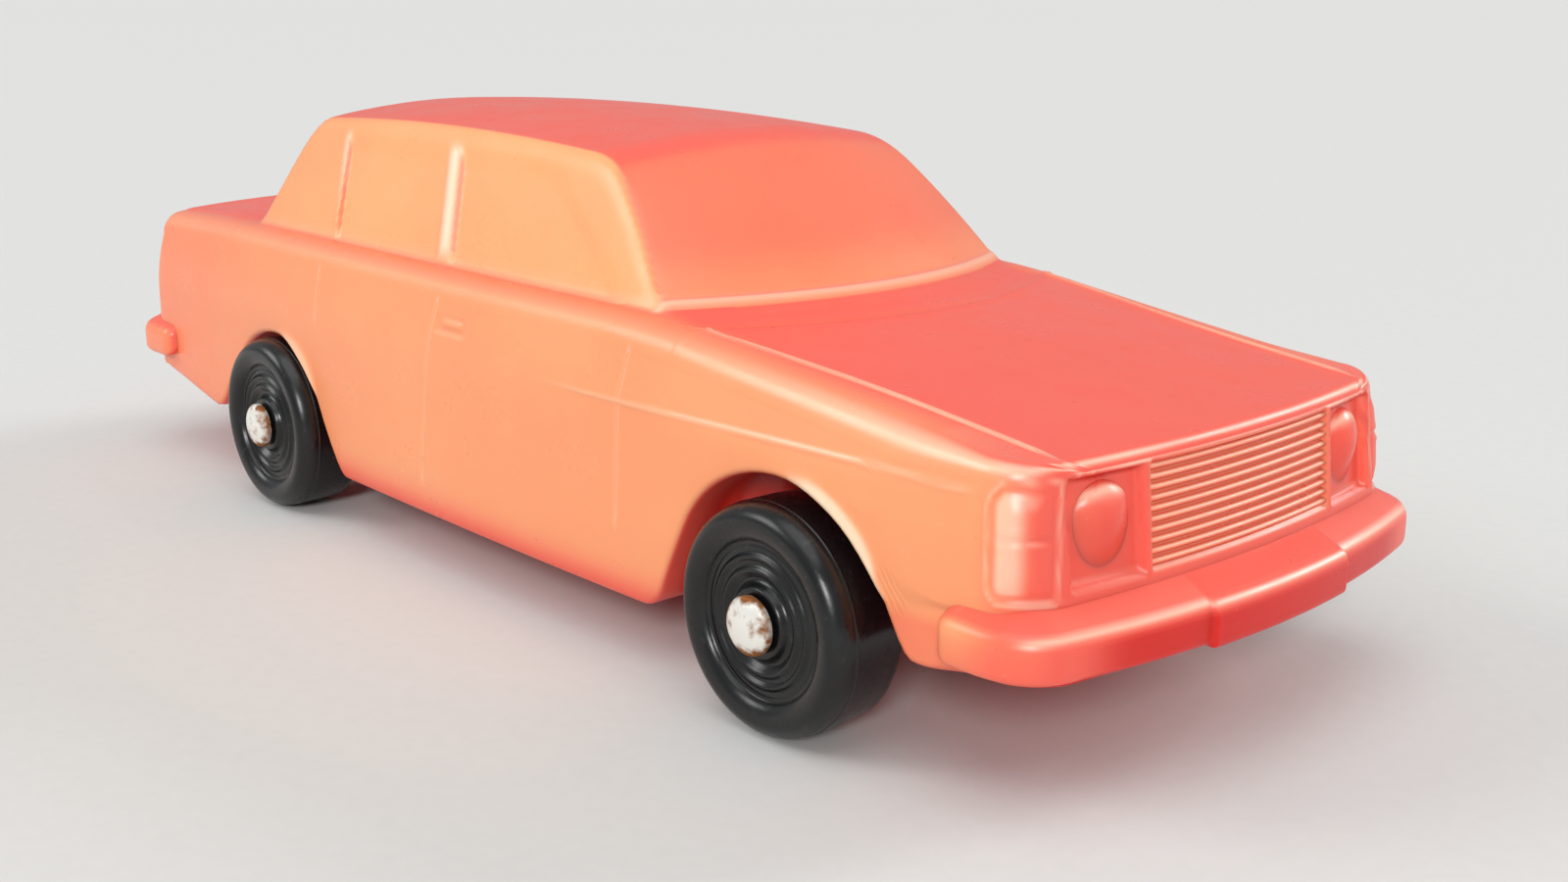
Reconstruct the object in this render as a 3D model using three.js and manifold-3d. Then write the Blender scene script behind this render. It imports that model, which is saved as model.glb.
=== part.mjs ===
// A toy saloon car: a hollow soft-vinyl body moulded in one piece, on two steel axles that carry four
// one-piece plastic wheels, each kept on by a domed steel cap. Millimetres, +X forward, +Y to the car's
// left, +Z up, with the origin on the ground under the middle of the car.
import * as THREE from "three";
import { mergeVertices } from "three/addons/utils/BufferGeometryUtils.js";
import Module from "manifold-3d";

const wasm = await Module();
wasm.setup();

// Length and height of the body
const overallLength = 200;
const wheelbase = 107;
const frontOverhang = 37.8;
const sillHeight = 7.4;
const noseSkirtHeight = 13.2;
const tailSkirtHeight = 14;
const rearFootHeight = 9;
const beltHeight = 38.3;
const noseHeight = 32.6;
const tailHeight = 36.6;
const roofHeight = 57.8;
const wall = 2.2;

// Width of the body: tucked in at the sill and the belt, narrower and bowed at both ends
const bodyWidth = 67.8;
const noseWidth = 61.5;
const tailWidth = 63;
const sillTuck = 0.7;
const beltTuck = 1.4;
const waistLow = 17;
const waistHigh = 30.6;
const edgeRound = 2;
const noseRound = 1.2;
const deckCrown = 0.9;
const noseCorner = 8;
const tailCorner = 6;
const noseBow = 3.2;
const tailBow = 1.6;
const noseLean = 0.1;

// Cabin: sides that lean in to the roof, and two screens that bow outwards, each set back from an axle
const cabinBaseWidth = 57.4;
const cabinRoofWidth = 44.8;
const roofEdgeHeight = 55;
const roofRound = 4;
const crownRound = 5;
const screenSetback = 15.7;
const screenBow = 8;
const screenRake = 1.28;
const backlightSetback = 19.2;
const backlightBow = 4;
const backlightRake = 0.75;

// Side windows, sunk into the cabin's sides on either side of a leaning pillar that is set back from the
// middle of the wheelbase, and ending short of the screens
const windowDepth = 0.5;
const windowSill = 2;
const windowDrop = 2;
const windowCorner = 1.5;
const pillarSetback = 14.9;
const pillarWidth = 4.8;
const pillarSlant = 0.3;
const frontWindowShort = 15.5;
const rearWindowShort = 29.2;

// Wheel housings, with a raised lip round the mouth of each
const frontArchHalf = 16.4;
const frontArchRise = 15.1;
const rearArchHalf = 15.3;
const rearArchRise = 13.3;
const archLip = 1.8;
const lipProud = 0.8;

// Bumpers with a blank plate on each, and a sloping shelf back to the body
const frontBumperHeight = 14.5;
const rearBumperHeight = 15.6;
const bumperDepth = 4.7;
const bumperReach = 5.4;
const bumperWidth = 67;
const bumperBow = 2.6;
const bumperCorner = 7;
const bumperRound = 0.9;
const shelfRise = 2;
const shelfRun = 4.6;
const frontBumperWrap = 15.9;
const rearBumperWrap = 17.3;
const plateWidth = 23;
const plateProud = 0.7;

// Relief on the nose and the tail
const faceRecess = 0.9;
const faceBottom = 21.4;
const faceTop = 31.4;
const grilleWidth = 30;
const slatCount = 10;
const slatHeight = 0.55;
const slatSink = 0.2;
const lampBoxWidth = 9.6;
const lampGap = 0.9;
const headlampDiameter = 7.8;
const headlampBulge = 1.7;
const cornerLampLength = 6;
const cornerLampBottom = 21.8;
const cornerLampTop = 31;
const lampProud = 0.4;
const tailLampWidth = 9;
const tailLampBottom = 22.5;
const tailLampTop = 33;

// Wheels, axles and caps
const wheelDiameter = 24.6;
const wheelWidth = 9.5;
const wheelFaceSpan = 72.4;
const discDiameter = 16.6;
const ringInset = 1.55;
const ringPitch = 1.35;
const ringWidth = 0.7;
const bossDiameter = 8;
const discSink = 1.5;
const ringSink = 0.9;
const bossSink = 0.4;
const stepSlope = 0.3;
const shoulderRound = 1.8;
const backRecess = 4.5;
const backRim = 2.6;
const axleDiameter = 3;
const capDiameter = 6.2;
const capHeight = 1.7;
const capRim = 0.6;
const capCrown = 0.6;

// Clearances between pieces
const boreClearance = 0.25;
const sideClearance = 0.4;
const seatGap = 0.2;

// Facets on round pieces and in curved outlines
const wheelSides = 32;
const rodSides = 20;
const curveSteps = 5;
const shoulderSteps = 3;
const bowSteps = 6;

// How far a cutter runs past what it cuts, and a joined piece runs into what carries it
const past = 20;
const root = 4;

// Places that follow from the sizes
const halfLength = overallLength / 2;
const frontAxleX = halfLength - frontOverhang;
const rearAxleX = frontAxleX - wheelbase;
const middleX = (frontAxleX + rearAxleX) / 2;
const axleHeight = wheelDiameter / 2;
const noseX = halfLength - plateProud - bumperReach;
const tailX = -noseX;
const screenBaseX = frontAxleX - screenSetback;
const backlightBaseX = rearAxleX - backlightSetback;
const pillarX = middleX - pillarSetback;
const frontWindowEndX = screenBaseX - frontWindowShort;
const rearWindowEndX = backlightBaseX + rearWindowShort;
const wheelFace = wheelFaceSpan / 2;
const housingWall = wheelFace - wheelWidth - sideClearance;
const capSeat = wheelFace - bossSink + sideClearance;
const boreRadius = axleDiameter / 2 + boreClearance;
const cabinLean = (cabinBaseWidth - cabinRoofWidth) / 2 / (roofEdgeHeight - beltHeight);
const cabinHalf = (height) => cabinBaseWidth / 2 - cabinLean * (height - beltHeight);
const noseFace = (height) => noseX + noseLean * (noseHeight - height);
const bothSides = [-1, 1];

// A closed three.js geometry as a solid that can be joined and cut.
function solid(geometry) {
  const bare = geometry.clone();
  bare.deleteAttribute("normal");
  bare.deleteAttribute("uv");
  const merged = mergeVertices(bare, 1e-4);
  return new wasm.Manifold(new wasm.Mesh({
    numProp: 3,
    vertProperties: new Float32Array(merged.attributes.position.array),
    triVerts: new Uint32Array(merged.index.array),
  }));
}

function geometryOf(shape) {
  const mesh = shape.getMesh();
  const geometry = new THREE.BufferGeometry();
  geometry.setAttribute("position", new THREE.BufferAttribute(mesh.vertProperties, 3));
  geometry.setIndex(new THREE.BufferAttribute(mesh.triVerts, 1));
  geometry.computeVertexNormals();
  return geometry;
}

const joined = (shapes) => shapes.reduce((all, shape) => all.add(shape));
const cutBy = (shape, cutters) => cutters.reduce((rest, cutter) => rest.subtract(cutter), shape);

// A closed outline through corners [u, v, round], each corner curved over a length of round on both sides.
function outline(corners) {
  const shape = new THREE.Shape();
  corners.forEach(([u, v, round = 0], index) => {
    const corner = new THREE.Vector2(u, v);
    const beside = (step) => {
      const [nextU, nextV] = corners.at((index + step) % corners.length);
      return new THREE.Vector2(nextU, nextV).sub(corner).setLength(round).add(corner);
    };
    const start = beside(-1);
    const end = beside(1);
    if (index === 0) shape.moveTo(start.x, start.y);
    else shape.lineTo(start.x, start.y);
    if (round > 0) shape.quadraticCurveTo(u, v, end.x, end.y);
  });
  shape.closePath();
  return shape;
}

// A shape drawn in x and y carried up by a depth, its edges drawn in by run over a height of rise.
function extruded(shape, depth, { rise = 0, run = rise, segments = 2, steps = 1 } = {}) {
  return new THREE.ExtrudeGeometry(shape, {
    depth: depth - 2 * rise,
    steps,
    bevelEnabled: rise > 0,
    bevelThickness: rise,
    bevelSize: run,
    bevelOffset: -run,
    bevelSegments: segments,
    curveSegments: curveSteps,
  }).translate(0, 0, rise);
}

// An outline in (x, z) carried across the car between two values of y.
function acrossCar(shape, fromY, toY, edge) {
  const low = Math.min(fromY, toY);
  const high = Math.max(fromY, toY);
  return extruded(shape, high - low, edge).rotateX(Math.PI / 2).translate(0, high, 0);
}

// An outline in (y, z) carried along the whole car.
function alongCar(shape) {
  const reach = overallLength + 2 * past;
  const [x, y, z] = [new THREE.Vector3(1, 0, 0), new THREE.Vector3(0, 1, 0), new THREE.Vector3(0, 0, 1)];
  const turned = new THREE.Matrix4().makeBasis(y, z, x);
  return extruded(shape, reach).applyMatrix4(turned).translate(-reach / 2, 0, 0);
}

// An outline in (x, y) carried up between two heights, moving by lean in x for each millimetre of height.
function upright(shape, fromZ, toZ, { lean = 0, leanFrom = 0, edge } = {}) {
  const leaning = new THREE.Matrix4().set(1, 0, lean, -lean * leanFrom, 0, 1, 0, 0, 0, 0, 1, 0, 0, 0, 0, 1);
  return extruded(shape, toZ - fromZ, edge).translate(0, 0, fromZ).applyMatrix4(leaning);
}

// A plan with one end bowed out to endX on the centre line, whose other end runs past the car.
function bowedPlan(endX, bow, half) {
  const ahead = Math.sign(bow);
  const plan = new THREE.Shape();
  plan.moveTo(endX - bow, -half);
  plan.quadraticCurveTo(endX + bow, 0, endX - bow, half);
  plan.lineTo(-ahead * (halfLength + past), half + past);
  plan.lineTo(-ahead * (halfLength + past), -half - past);
  plan.closePath();
  return plan;
}

// A closed skin through rings of [x, y, z] that run from tail to nose, with a flat face on each end.
function loft(rings) {
  const count = rings[0].length;
  const index = [];
  rings.slice(1).forEach((_, ring) => {
    for (let at = 0; at < count; at += 1) {
      const near = ring * count + at;
      const next = ring * count + (at + 1) % count;
      index.push(near, next, next + count, near, next + count, near + count);
    }
  });
  const last = (rings.length - 1) * count;
  for (let at = 1; at + 1 < count; at += 1) {
    index.push(0, at + 1, at);
    index.push(last, last + at, last + at + 1);
  }
  const geometry = new THREE.BufferGeometry();
  geometry.setAttribute("position", new THREE.Float32BufferAttribute(rings.flat(2), 3));
  return geometry.setIndex(index);
}

// The value at x on straight lines through points [x, value].
function along(points, x) {
  const after = Math.max(1, points.findIndex(([place]) => place >= x));
  const [[x0, value0], [x1, value1]] = [points[after - 1], points[after]];
  return value0 + (value1 - value0) * (x - x0) / (x1 - x0);
}

// How far a corner of the given radius draws in at a distance from its end.
function drawIn(radius, distance) {
  const short = Math.min(radius, Math.max(0, radius - distance));
  return radius - Math.sqrt(radius ** 2 - short ** 2);
}

// The tub below the windows: sections lofted from tail to nose, then both ends bowed. Drawn in by inset
// it gives the hollow, and grown by a negative inset it gives what stands proud.
function tub(inset) {
  const tail = tailX + inset;
  const nose = noseX - inset;
  const noseFoot = nose + noseLean * (noseHeight - noseSkirtHeight);
  const bottom = [
    [tail, tailSkirtHeight], [rearAxleX - rearArchHalf, rearFootHeight], [rearAxleX, sillHeight],
    [frontAxleX, sillHeight], [frontAxleX + frontArchHalf, noseSkirtHeight], [noseFoot, noseSkirtHeight],
  ];
  const top = [
    [tail, tailHeight], [backlightBaseX, beltHeight], [screenBaseX, beltHeight], [noseFoot, noseHeight],
  ];
  const cornerSteps = Array.from({ length: curveSteps + 1 },
    (_, step) => 1 - Math.cos(step / curveSteps * Math.PI / 2));
  const stations = [
    ...cornerSteps.map((step) => tail + step * tailCorner),
    ...bottom.slice(1, -1).map(([x]) => x),
    backlightBaseX, middleX, screenBaseX, (screenBaseX + nose) / 2, nose, nose - noseRound,
    ...cornerSteps.map((step) => noseFoot - step * noseCorner),
  ].sort((a, b) => a - b);
  const section = (x) => {
    const [endWidth, reach] = x < middleX ? [tailWidth, middleX - tail] : [noseWidth, nose - middleX];
    const corner = drawIn(tailCorner, x - tail) + drawIn(noseCorner, noseFoot - x);
    const taper = (bodyWidth - endWidth) / 2 * ((x - middleX) / reach) ** 2;
    const half = bodyWidth / 2 - taper - corner - inset;
    const low = along(bottom, x) + inset;
    const high = along(top, x) - inset - drawIn(edgeRound, x - tail) - drawIn(noseRound, nose - x);
    const waist = Math.min(waistHigh, high - 2 * edgeRound);
    const shoulder = half - beltTuck - edgeRound;
    const round = Array.from({ length: shoulderSteps + 1 }, (_, step) => {
      const turn = step / shoulderSteps * Math.PI / 2;
      return [shoulder + edgeRound * Math.cos(turn), high - edgeRound + edgeRound * Math.sin(turn)];
    });
    const left = [
      [half - sillTuck - edgeRound / 2, low],
      [half - sillTuck, low + edgeRound / 2],
      [half, Math.min(waistLow, waist - edgeRound)],
      [half, waist],
      ...round,
      [shoulder / 2, high + deckCrown * 3 / 4],
    ];
    const right = left.map(([y, z]) => [-y, z]).reverse();
    return [...left, [0, high + deckCrown], ...right].map(([y, z]) => [x, y, z]);
  };
  const tall = roofHeight + past;
  const noseEnd = upright(bowedPlan(nose, noseBow, noseWidth / 2), -past, tall,
    { lean: -noseLean, leanFrom: noseHeight });
  const tailEnd = upright(bowedPlan(tail, -tailBow, tailWidth / 2), -past, tall);
  return solid(loft(stations.map(section))).intersect(solid(noseEnd)).intersect(solid(tailEnd));
}

// The cabin: its end profile cut by two leaning, bowed screens and rounded into the roof.
function cabin(inset) {
  const base = beltHeight - root - inset;
  const top = roofHeight - inset;
  const left = [
    [cabinHalf(base) - inset, base],
    [cabinHalf(roofEdgeHeight) - inset, roofEdgeHeight - inset, roofRound],
    [cabinRoofWidth / 4, top, crownRound],
  ];
  const right = left.map(([y, z, round]) => [-y, z, round]).reverse();
  const screenTop = screenBaseX - screenRake * (top - beltHeight) - inset;
  const backTop = backlightBaseX + backlightRake * (top - beltHeight) + inset;
  const side = outline([
    [backTop - backlightRake * (top - base), base],
    [screenTop + screenRake * (top - base), base],
    [screenTop, top, roofRound],
    [backTop, top, roofRound],
  ]);
  const half = cabinBaseWidth / 2;
  const screen = upright(bowedPlan(screenBaseX - inset, screenBow, half), base, roofHeight,
    { lean: -screenRake, leanFrom: beltHeight });
  const backlight = upright(bowedPlan(backlightBaseX + inset, -backlightBow, half), base, roofHeight,
    { lean: backlightRake, leanFrom: beltHeight });
  return solid(alongCar(outline([...left, ...right])))
    .intersect(solid(acrossCar(side, -bodyWidth / 2, bodyWidth / 2)))
    .intersect(solid(screen))
    .intersect(solid(backlight));
}

// Side windows: panes that lean with the cabin's sides and cut into them.
function windowPanes() {
  const low = beltHeight + windowSill;
  const high = roofEdgeHeight - windowDrop;
  const slant = pillarSlant * (high - low);
  const pillarFront = pillarX + pillarWidth / 2;
  const pillarBack = pillarX - pillarWidth / 2;
  const frontPane = outline([
    [pillarFront, low, windowCorner],
    [frontWindowEndX, low, windowCorner],
    [frontWindowEndX - screenRake * (high - low), high, windowCorner],
    [pillarFront - slant, high, windowCorner],
  ]);
  const rearPane = outline([
    [rearWindowEndX, low, windowCorner],
    [pillarBack, low, windowCorner],
    [pillarBack - slant, high, windowCorner],
    [rearWindowEndX, high, windowCorner],
  ]);
  return bothSides.flatMap((side) => [frontPane, rearPane].map((pane) => {
    const leaning = new THREE.Matrix4().set(1, 0, 0, 0, 0, 1, -side * cabinLean, 0, 0, 0, 1, 0, 0, 0, 0, 1);
    const inner = cabinHalf(0) - windowDepth;
    return solid(acrossCar(pane, side * inner, side * (inner + past)).applyMatrix4(leaning));
  }));
}

// The mouth of a wheel housing, grown by grow, open below the sill.
function archOutline({ axleX, half, rise }, grow) {
  const shape = new THREE.Shape();
  shape.moveTo(axleX - half - grow, 0);
  shape.lineTo(axleX + half + grow, 0);
  shape.lineTo(axleX + half + grow, axleHeight);
  shape.absellipse(axleX, axleHeight, half + grow, rise + grow, 0, Math.PI, false);
  shape.closePath();
  return shape;
}

const arches = [
  { axleX: frontAxleX, half: frontArchHalf, rise: frontArchRise, foot: noseSkirtHeight },
  { axleX: rearAxleX, half: rearArchHalf, rise: rearArchRise, foot: rearFootHeight },
].flatMap((arch) => bothSides.map((side) => ({ ...arch, side })));

// The room that a wheel housing clears or, with grow, the vinyl that lines it.
function housing(arch, grow) {
  const outer = bodyWidth / 2 + past;
  return solid(acrossCar(archOutline(arch, grow), arch.side * (housingWall - grow), arch.side * outer));
}

// The raised lip round a wheel housing's mouth, ending just above the foot of the body side.
function archLipRing(arch) {
  const face = arch.side * (bodyWidth / 2 + lipProud);
  const ring = acrossCar(archOutline(arch, archLip), arch.side * housingWall, face, { rise: lipProud / 2 });
  const reach = arch.half + 2 * archLip;
  const above = new THREE.BoxGeometry(2 * reach, 2 * bodyWidth, roofHeight);
  const foot = arch.foot + edgeRound;
  return solid(ring).intersect(solid(above.translate(arch.axleX, 0, foot + roofHeight / 2)));
}

// A bumper bar that wraps round one end of the body, with its sloping shelf and blank plate.
function bumper(facing, wrap, height) {
  const face = facing * (halfLength - plateProud);
  const endX = face - facing * wrap;
  const half = bumperWidth / 2;
  const bar = outline([
    [face - facing * bumperBow, -half, bumperCorner],
    [face, -half / 2, half / 4],
    [face, half / 2, half / 4],
    [face - facing * bumperBow, half, bumperCorner],
    [endX, half],
    [endX, -half],
  ]);
  const plate = new THREE.BoxGeometry(root, plateWidth, bumperDepth);
  plate.translate(facing * (halfLength - root / 2), 0, height + bumperDepth / 2);
  const top = height + bumperDepth;
  const shelf = { edge: { rise: shelfRise, run: shelfRun, segments: 1 } };
  return joined([
    solid(upright(bar, height, top, { edge: { rise: bumperRound } })),
    solid(upright(bar, top - 2 * shelfRise, top + shelfRise, shelf)),
    solid(plate),
  ]);
}

// A block on the leaning, bowed nose, between two depths measured out from its face.
function noseBlock([fromY, toY], [fromZ, toZ], [fromDepth, toDepth]) {
  const block = outline([
    [noseFace(fromZ) + fromDepth, fromZ],
    [noseFace(fromZ) + toDepth, fromZ],
    [noseFace(toZ) + toDepth, toZ],
    [noseFace(toZ) + fromDepth, toZ],
  ]);
  const geometry = acrossCar(block, fromY, toY, { steps: bowSteps });
  const points = geometry.attributes.position;
  for (let at = 0; at < points.count; at += 1) {
    points.setX(at, points.getX(at) - noseBow * (points.getY(at) / (noseWidth / 2)) ** 2);
  }
  return solid(geometry);
}

// The sunk panels of the nose: the grille between two headlamp boxes.
const faceHeights = [faceBottom, faceTop];
const recessDepths = [-faceRecess, root];
const lampBoxInner = grilleWidth / 2 + lampGap;
const lampBoxOuter = lampBoxInner + lampBoxWidth;
const noseRecesses = [
  noseBlock([-grilleWidth / 2, grilleWidth / 2], faceHeights, recessDepths),
  ...bothSides.map((side) =>
    noseBlock([side * lampBoxInner, side * lampBoxOuter], faceHeights, recessDepths)),
];

// Grille slats, evenly spaced up the sunk panel.
const slatPitch = (faceTop - faceBottom) / (slatCount + 1);
const slats = Array.from({ length: slatCount }, (_, index) => {
  const low = faceBottom + slatPitch * (index + 1) - slatHeight / 2;
  const half = grilleWidth / 2 + lampGap / 2;
  return noseBlock([-half, half], [low, low + slatHeight], [-faceRecess - wall / 4, -slatSink]);
});

// Round headlamps, domed out of their boxes.
const headlamps = bothSides.map((side) => {
  const height = (faceBottom + faceTop) / 2;
  const middle = (lampBoxInner + lampBoxOuter) / 2;
  const face = noseFace(height) - noseBow * (middle / (noseWidth / 2)) ** 2 - faceRecess;
  const dome = new THREE.SphereGeometry(headlampDiameter / 2, rodSides, 2 * curveSteps);
  dome.scale(headlampBulge / (headlampDiameter / 2), 1, 1);
  return solid(dome.translate(face, side * middle, height));
});

// Corner lamps that wrap from the nose to the side, proud of the tub.
const cornerLamps = bothSides.map((side) => {
  const inner = lampBoxOuter + lampGap;
  const reach = outline([
    [noseX - cornerLampLength, cornerLampBottom, windowCorner],
    [halfLength, cornerLampBottom],
    [halfLength, cornerLampTop],
    [noseX - cornerLampLength, cornerLampTop, windowCorner],
  ]);
  return tub(-lampProud).intersect(solid(acrossCar(reach, side * inner, side * bodyWidth)));
});

// Tail lamps, upright blocks at the corners of the tail, proud of the tub.
const tailLamps = bothSides.map((side) => {
  const outer = tailWidth / 2;
  const reach = new THREE.BoxGeometry(tailCorner, tailLampWidth, tailLampTop - tailLampBottom);
  reach.translate(tailX, side * (outer - tailLampWidth / 2), (tailLampBottom + tailLampTop) / 2);
  return tub(-lampProud).intersect(solid(reach));
});

// A hole for an axle through the walls of both its housings.
function axleHole(axleX) {
  const rod = new THREE.CylinderGeometry(boreRadius, boreRadius, bodyWidth, rodSides);
  return solid(rod.translate(axleX, 0, axleHeight));
}

// The whole moulding. Its hollow keeps a wall all round, the linings of the wheel housings included.
function bodyShell() {
  const hollow = cutBy(joined([tub(wall), cabin(wall)]), arches.map((arch) => housing(arch, wall)));
  const skin = joined([
    tub(0),
    cabin(0),
    bumper(1, frontBumperWrap, frontBumperHeight),
    bumper(-1, rearBumperWrap, rearBumperHeight),
    ...arches.map(archLipRing),
    ...cornerLamps,
    ...tailLamps,
  ]);
  const faced = joined([cutBy(skin, noseRecesses), ...slats, ...headlamps]);
  const rooms = arches.map((arch) => housing(arch, 0));
  return cutBy(faced, [...windowPanes(), hollow, ...rooms, axleHole(frontAxleX), axleHole(rearAxleX)]);
}

// A wheel turned from its half section [radius, distance out from its back]: hollow back, smooth tread,
// rolled sidewall, a disc with two raised rings, and a hub boss. Its tread stands on a flat.
function wheelGeometry(side) {
  const tread = wheelDiameter / 2 / Math.cos(Math.PI / wheelSides);
  const crest = tread - shoulderRound;
  const disc = wheelWidth - discSink;
  const ring = wheelWidth - ringSink;
  const boss = wheelWidth - bossSink;
  const outerRing = discDiameter / 2 - ringInset;
  const rings = [outerRing, outerRing - ringPitch].flatMap((radius) => [
    [radius + ringWidth / 2 + stepSlope, disc],
    [radius + ringWidth / 2, ring],
    [radius - ringWidth / 2, ring],
    [radius - ringWidth / 2 - stepSlope, disc],
  ]);
  const half = [
    [boreRadius, 0],
    [bossDiameter / 2, 0],
    [bossDiameter / 2, backRecess],
    [tread - backRim, backRecess],
    [tread - backRim, 0],
    [tread - shoulderRound / 2, 0],
    [tread, shoulderRound / 2],
    [tread, wheelWidth - shoulderRound],
    [tread - shoulderRound / 4, wheelWidth - shoulderRound / 3],
    [crest, wheelWidth],
    [(crest + discDiameter / 2) / 2, wheelWidth - discSink / 3],
    [discDiameter / 2, disc],
    ...rings,
    [bossDiameter / 2, disc],
    [bossDiameter / 2 - stepSlope, boss],
    [boreRadius, boss],
    [boreRadius, 0],
  ];
  const back = wheelFace - wheelWidth;
  const profile = half.map(([radius, out]) => new THREE.Vector2(radius, side * (back + out)));
  if (side < 0) profile.reverse();
  return new THREE.LatheGeometry(profile, wheelSides, Math.PI / wheelSides);
}

// An axle rod that ends inside the caps' sockets.
function axleGeometry() {
  const rod = 2 * (capSeat + capHeight - capCrown - seatGap);
  return new THREE.CylinderGeometry(axleDiameter / 2, axleDiameter / 2, rod, rodSides);
}

// A domed cap with a blind socket for the axle's end.
function capGeometry(side) {
  const socket = axleDiameter / 2 + seatGap;
  const roof = capHeight - capCrown;
  const rim = capDiameter / 2;
  const dome = Array.from({ length: curveSteps }, (_, step) => {
    const turn = step / curveSteps * Math.PI / 2;
    return [rim * Math.cos(turn), capRim + (capHeight - capRim) * Math.sin(turn)];
  });
  const half = [[0, roof], [socket, roof], [socket, 0], [rim, 0], ...dome, [0, capHeight]];
  const profile = half.map(([radius, out]) => new THREE.Vector2(radius, side * (capSeat + out)));
  if (side < 0) profile.reverse();
  return new THREE.LatheGeometry(profile, rodSides);
}

const vinyl = new THREE.MeshStandardMaterial({ color: 0xf2594a, roughness: 0.42, metalness: 0 });
const blackPlastic = new THREE.MeshStandardMaterial({ color: 0x17191a, roughness: 0.35, metalness: 0 });
const steel = new THREE.MeshStandardMaterial({ color: 0xa9a39a, roughness: 0.4, metalness: 1 });
const platedSteel = new THREE.MeshStandardMaterial({ color: 0xd8cfc0, roughness: 0.32, metalness: 1 });

function named(name, geometry, material) {
  const mesh = new THREE.Mesh(geometry, material);
  mesh.name = name;
  return mesh;
}

const car = new THREE.Group();
car.add(named("body_shell", geometryOf(bodyShell()), vinyl));
for (const [end, axleX] of [["front", frontAxleX], ["rear", rearAxleX]]) {
  const axleSet = new THREE.Group();
  axleSet.position.set(axleX, 0, axleHeight);
  axleSet.add(named(`${end}_axle`, axleGeometry(), steel));
  for (const [hand, side] of [["right", -1], ["left", 1]]) {
    axleSet.add(named(`${end}_${hand}_wheel`, wheelGeometry(side), blackPlastic));
    axleSet.add(named(`${end}_${hand}_cap`, capGeometry(side), platedSteel));
  }
  car.add(axleSet);
}

export default car;
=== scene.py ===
import bmesh
import bpy
import numpy as np
from mathutils import Matrix, Vector


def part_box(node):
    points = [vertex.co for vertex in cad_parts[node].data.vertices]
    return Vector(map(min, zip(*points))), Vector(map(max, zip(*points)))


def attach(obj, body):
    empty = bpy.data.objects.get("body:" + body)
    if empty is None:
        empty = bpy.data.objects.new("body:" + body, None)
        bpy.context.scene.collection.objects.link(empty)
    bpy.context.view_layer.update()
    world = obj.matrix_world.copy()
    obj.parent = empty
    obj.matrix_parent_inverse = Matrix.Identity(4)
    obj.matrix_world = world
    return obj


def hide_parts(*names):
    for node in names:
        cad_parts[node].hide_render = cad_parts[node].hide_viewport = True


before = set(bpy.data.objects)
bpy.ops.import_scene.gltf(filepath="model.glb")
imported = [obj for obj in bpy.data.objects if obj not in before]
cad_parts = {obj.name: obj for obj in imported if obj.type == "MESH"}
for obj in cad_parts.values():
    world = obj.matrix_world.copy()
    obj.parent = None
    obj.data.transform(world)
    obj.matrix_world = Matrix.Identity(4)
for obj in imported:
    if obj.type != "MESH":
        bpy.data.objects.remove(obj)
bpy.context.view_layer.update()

# The body: a toy saloon moulded hollow in one piece from soft vinyl, so every edge is rounded and its
# doors, windows, lamps and bonnet are only low relief. Two steel axles pass through it above the sill,
# and the wheels stand in four housings.
MM = 0.001


def box_mm(node):
    """The low and high corners of a CAD node's box, in millimetres."""
    return np.array([list(corner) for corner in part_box(node)]) / MM


# Sizes are in millimetres, with x forwards, y to the left and z up from the floor. The CAD shell's box
# gives the ends, the width, the sill and the roof, less what the bumpers and arch lips stand out.
FRONT_AXLE_X, _, AXLE_Z = box_mm("front_axle").mean(axis=0)
REAR_AXLE_X = box_mm("rear_axle").mean(axis=0)[0]
MIDDLE_X = (FRONT_AXLE_X + REAR_AXLE_X) / 2
SHELL_LOW, SHELL_HIGH = box_mm("body_shell")
FRONT_BUMPER_REACH, REAR_BUMPER_REACH, ARCH_LIP_REACH = 6.1, 7.0, 0.8
NOSE_X, TAIL_X = SHELL_HIGH[0] - FRONT_BUMPER_REACH, SHELL_LOW[0] + REAR_BUMPER_REACH
SIDE_HALF = SHELL_HIGH[1] - ARCH_LIP_REACH
SILL_Z, ROOF_Z = SHELL_LOW[2], SHELL_HIGH[2]


def ease(low, high, value):
    """0 before low, 1 after high, and a smooth S from one to the other."""
    t = np.clip((value - low) / (high - low), 0, 1)
    return t * t * (3 - 2 * t)


def ridge(distance, width):
    """A rounded ridge, 1 on its line and gone at about half its width on either side."""
    return np.exp(-(distance / (0.32 * width)) ** 2)


def soft_max(a, b, reach):
    """The larger of two values, rounded where they differ by less than reach."""
    near = np.clip(reach - np.abs(a - b), 0, None)
    return np.maximum(a, b) + near ** 2 / (4 * reach)


def soft_min(a, b, reach):
    """The smaller of two values, rounded where they differ by less than reach."""
    return -soft_max(-a, -b, reach)


def inside_box(u, v, u_range, v_range, ramp):
    """1 inside a box in u and v, falling to 0 over a ramp centred on its edges."""
    half = ramp / 2
    in_u = ease(u_range[0] - half, u_range[0] + half, u) * (1 - ease(u_range[1] - half, u_range[1] + half, u))
    in_v = ease(v_range[0] - half, v_range[0] + half, v) * (1 - ease(v_range[1] - half, v_range[1] + half, v))
    return in_u * in_v


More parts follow.
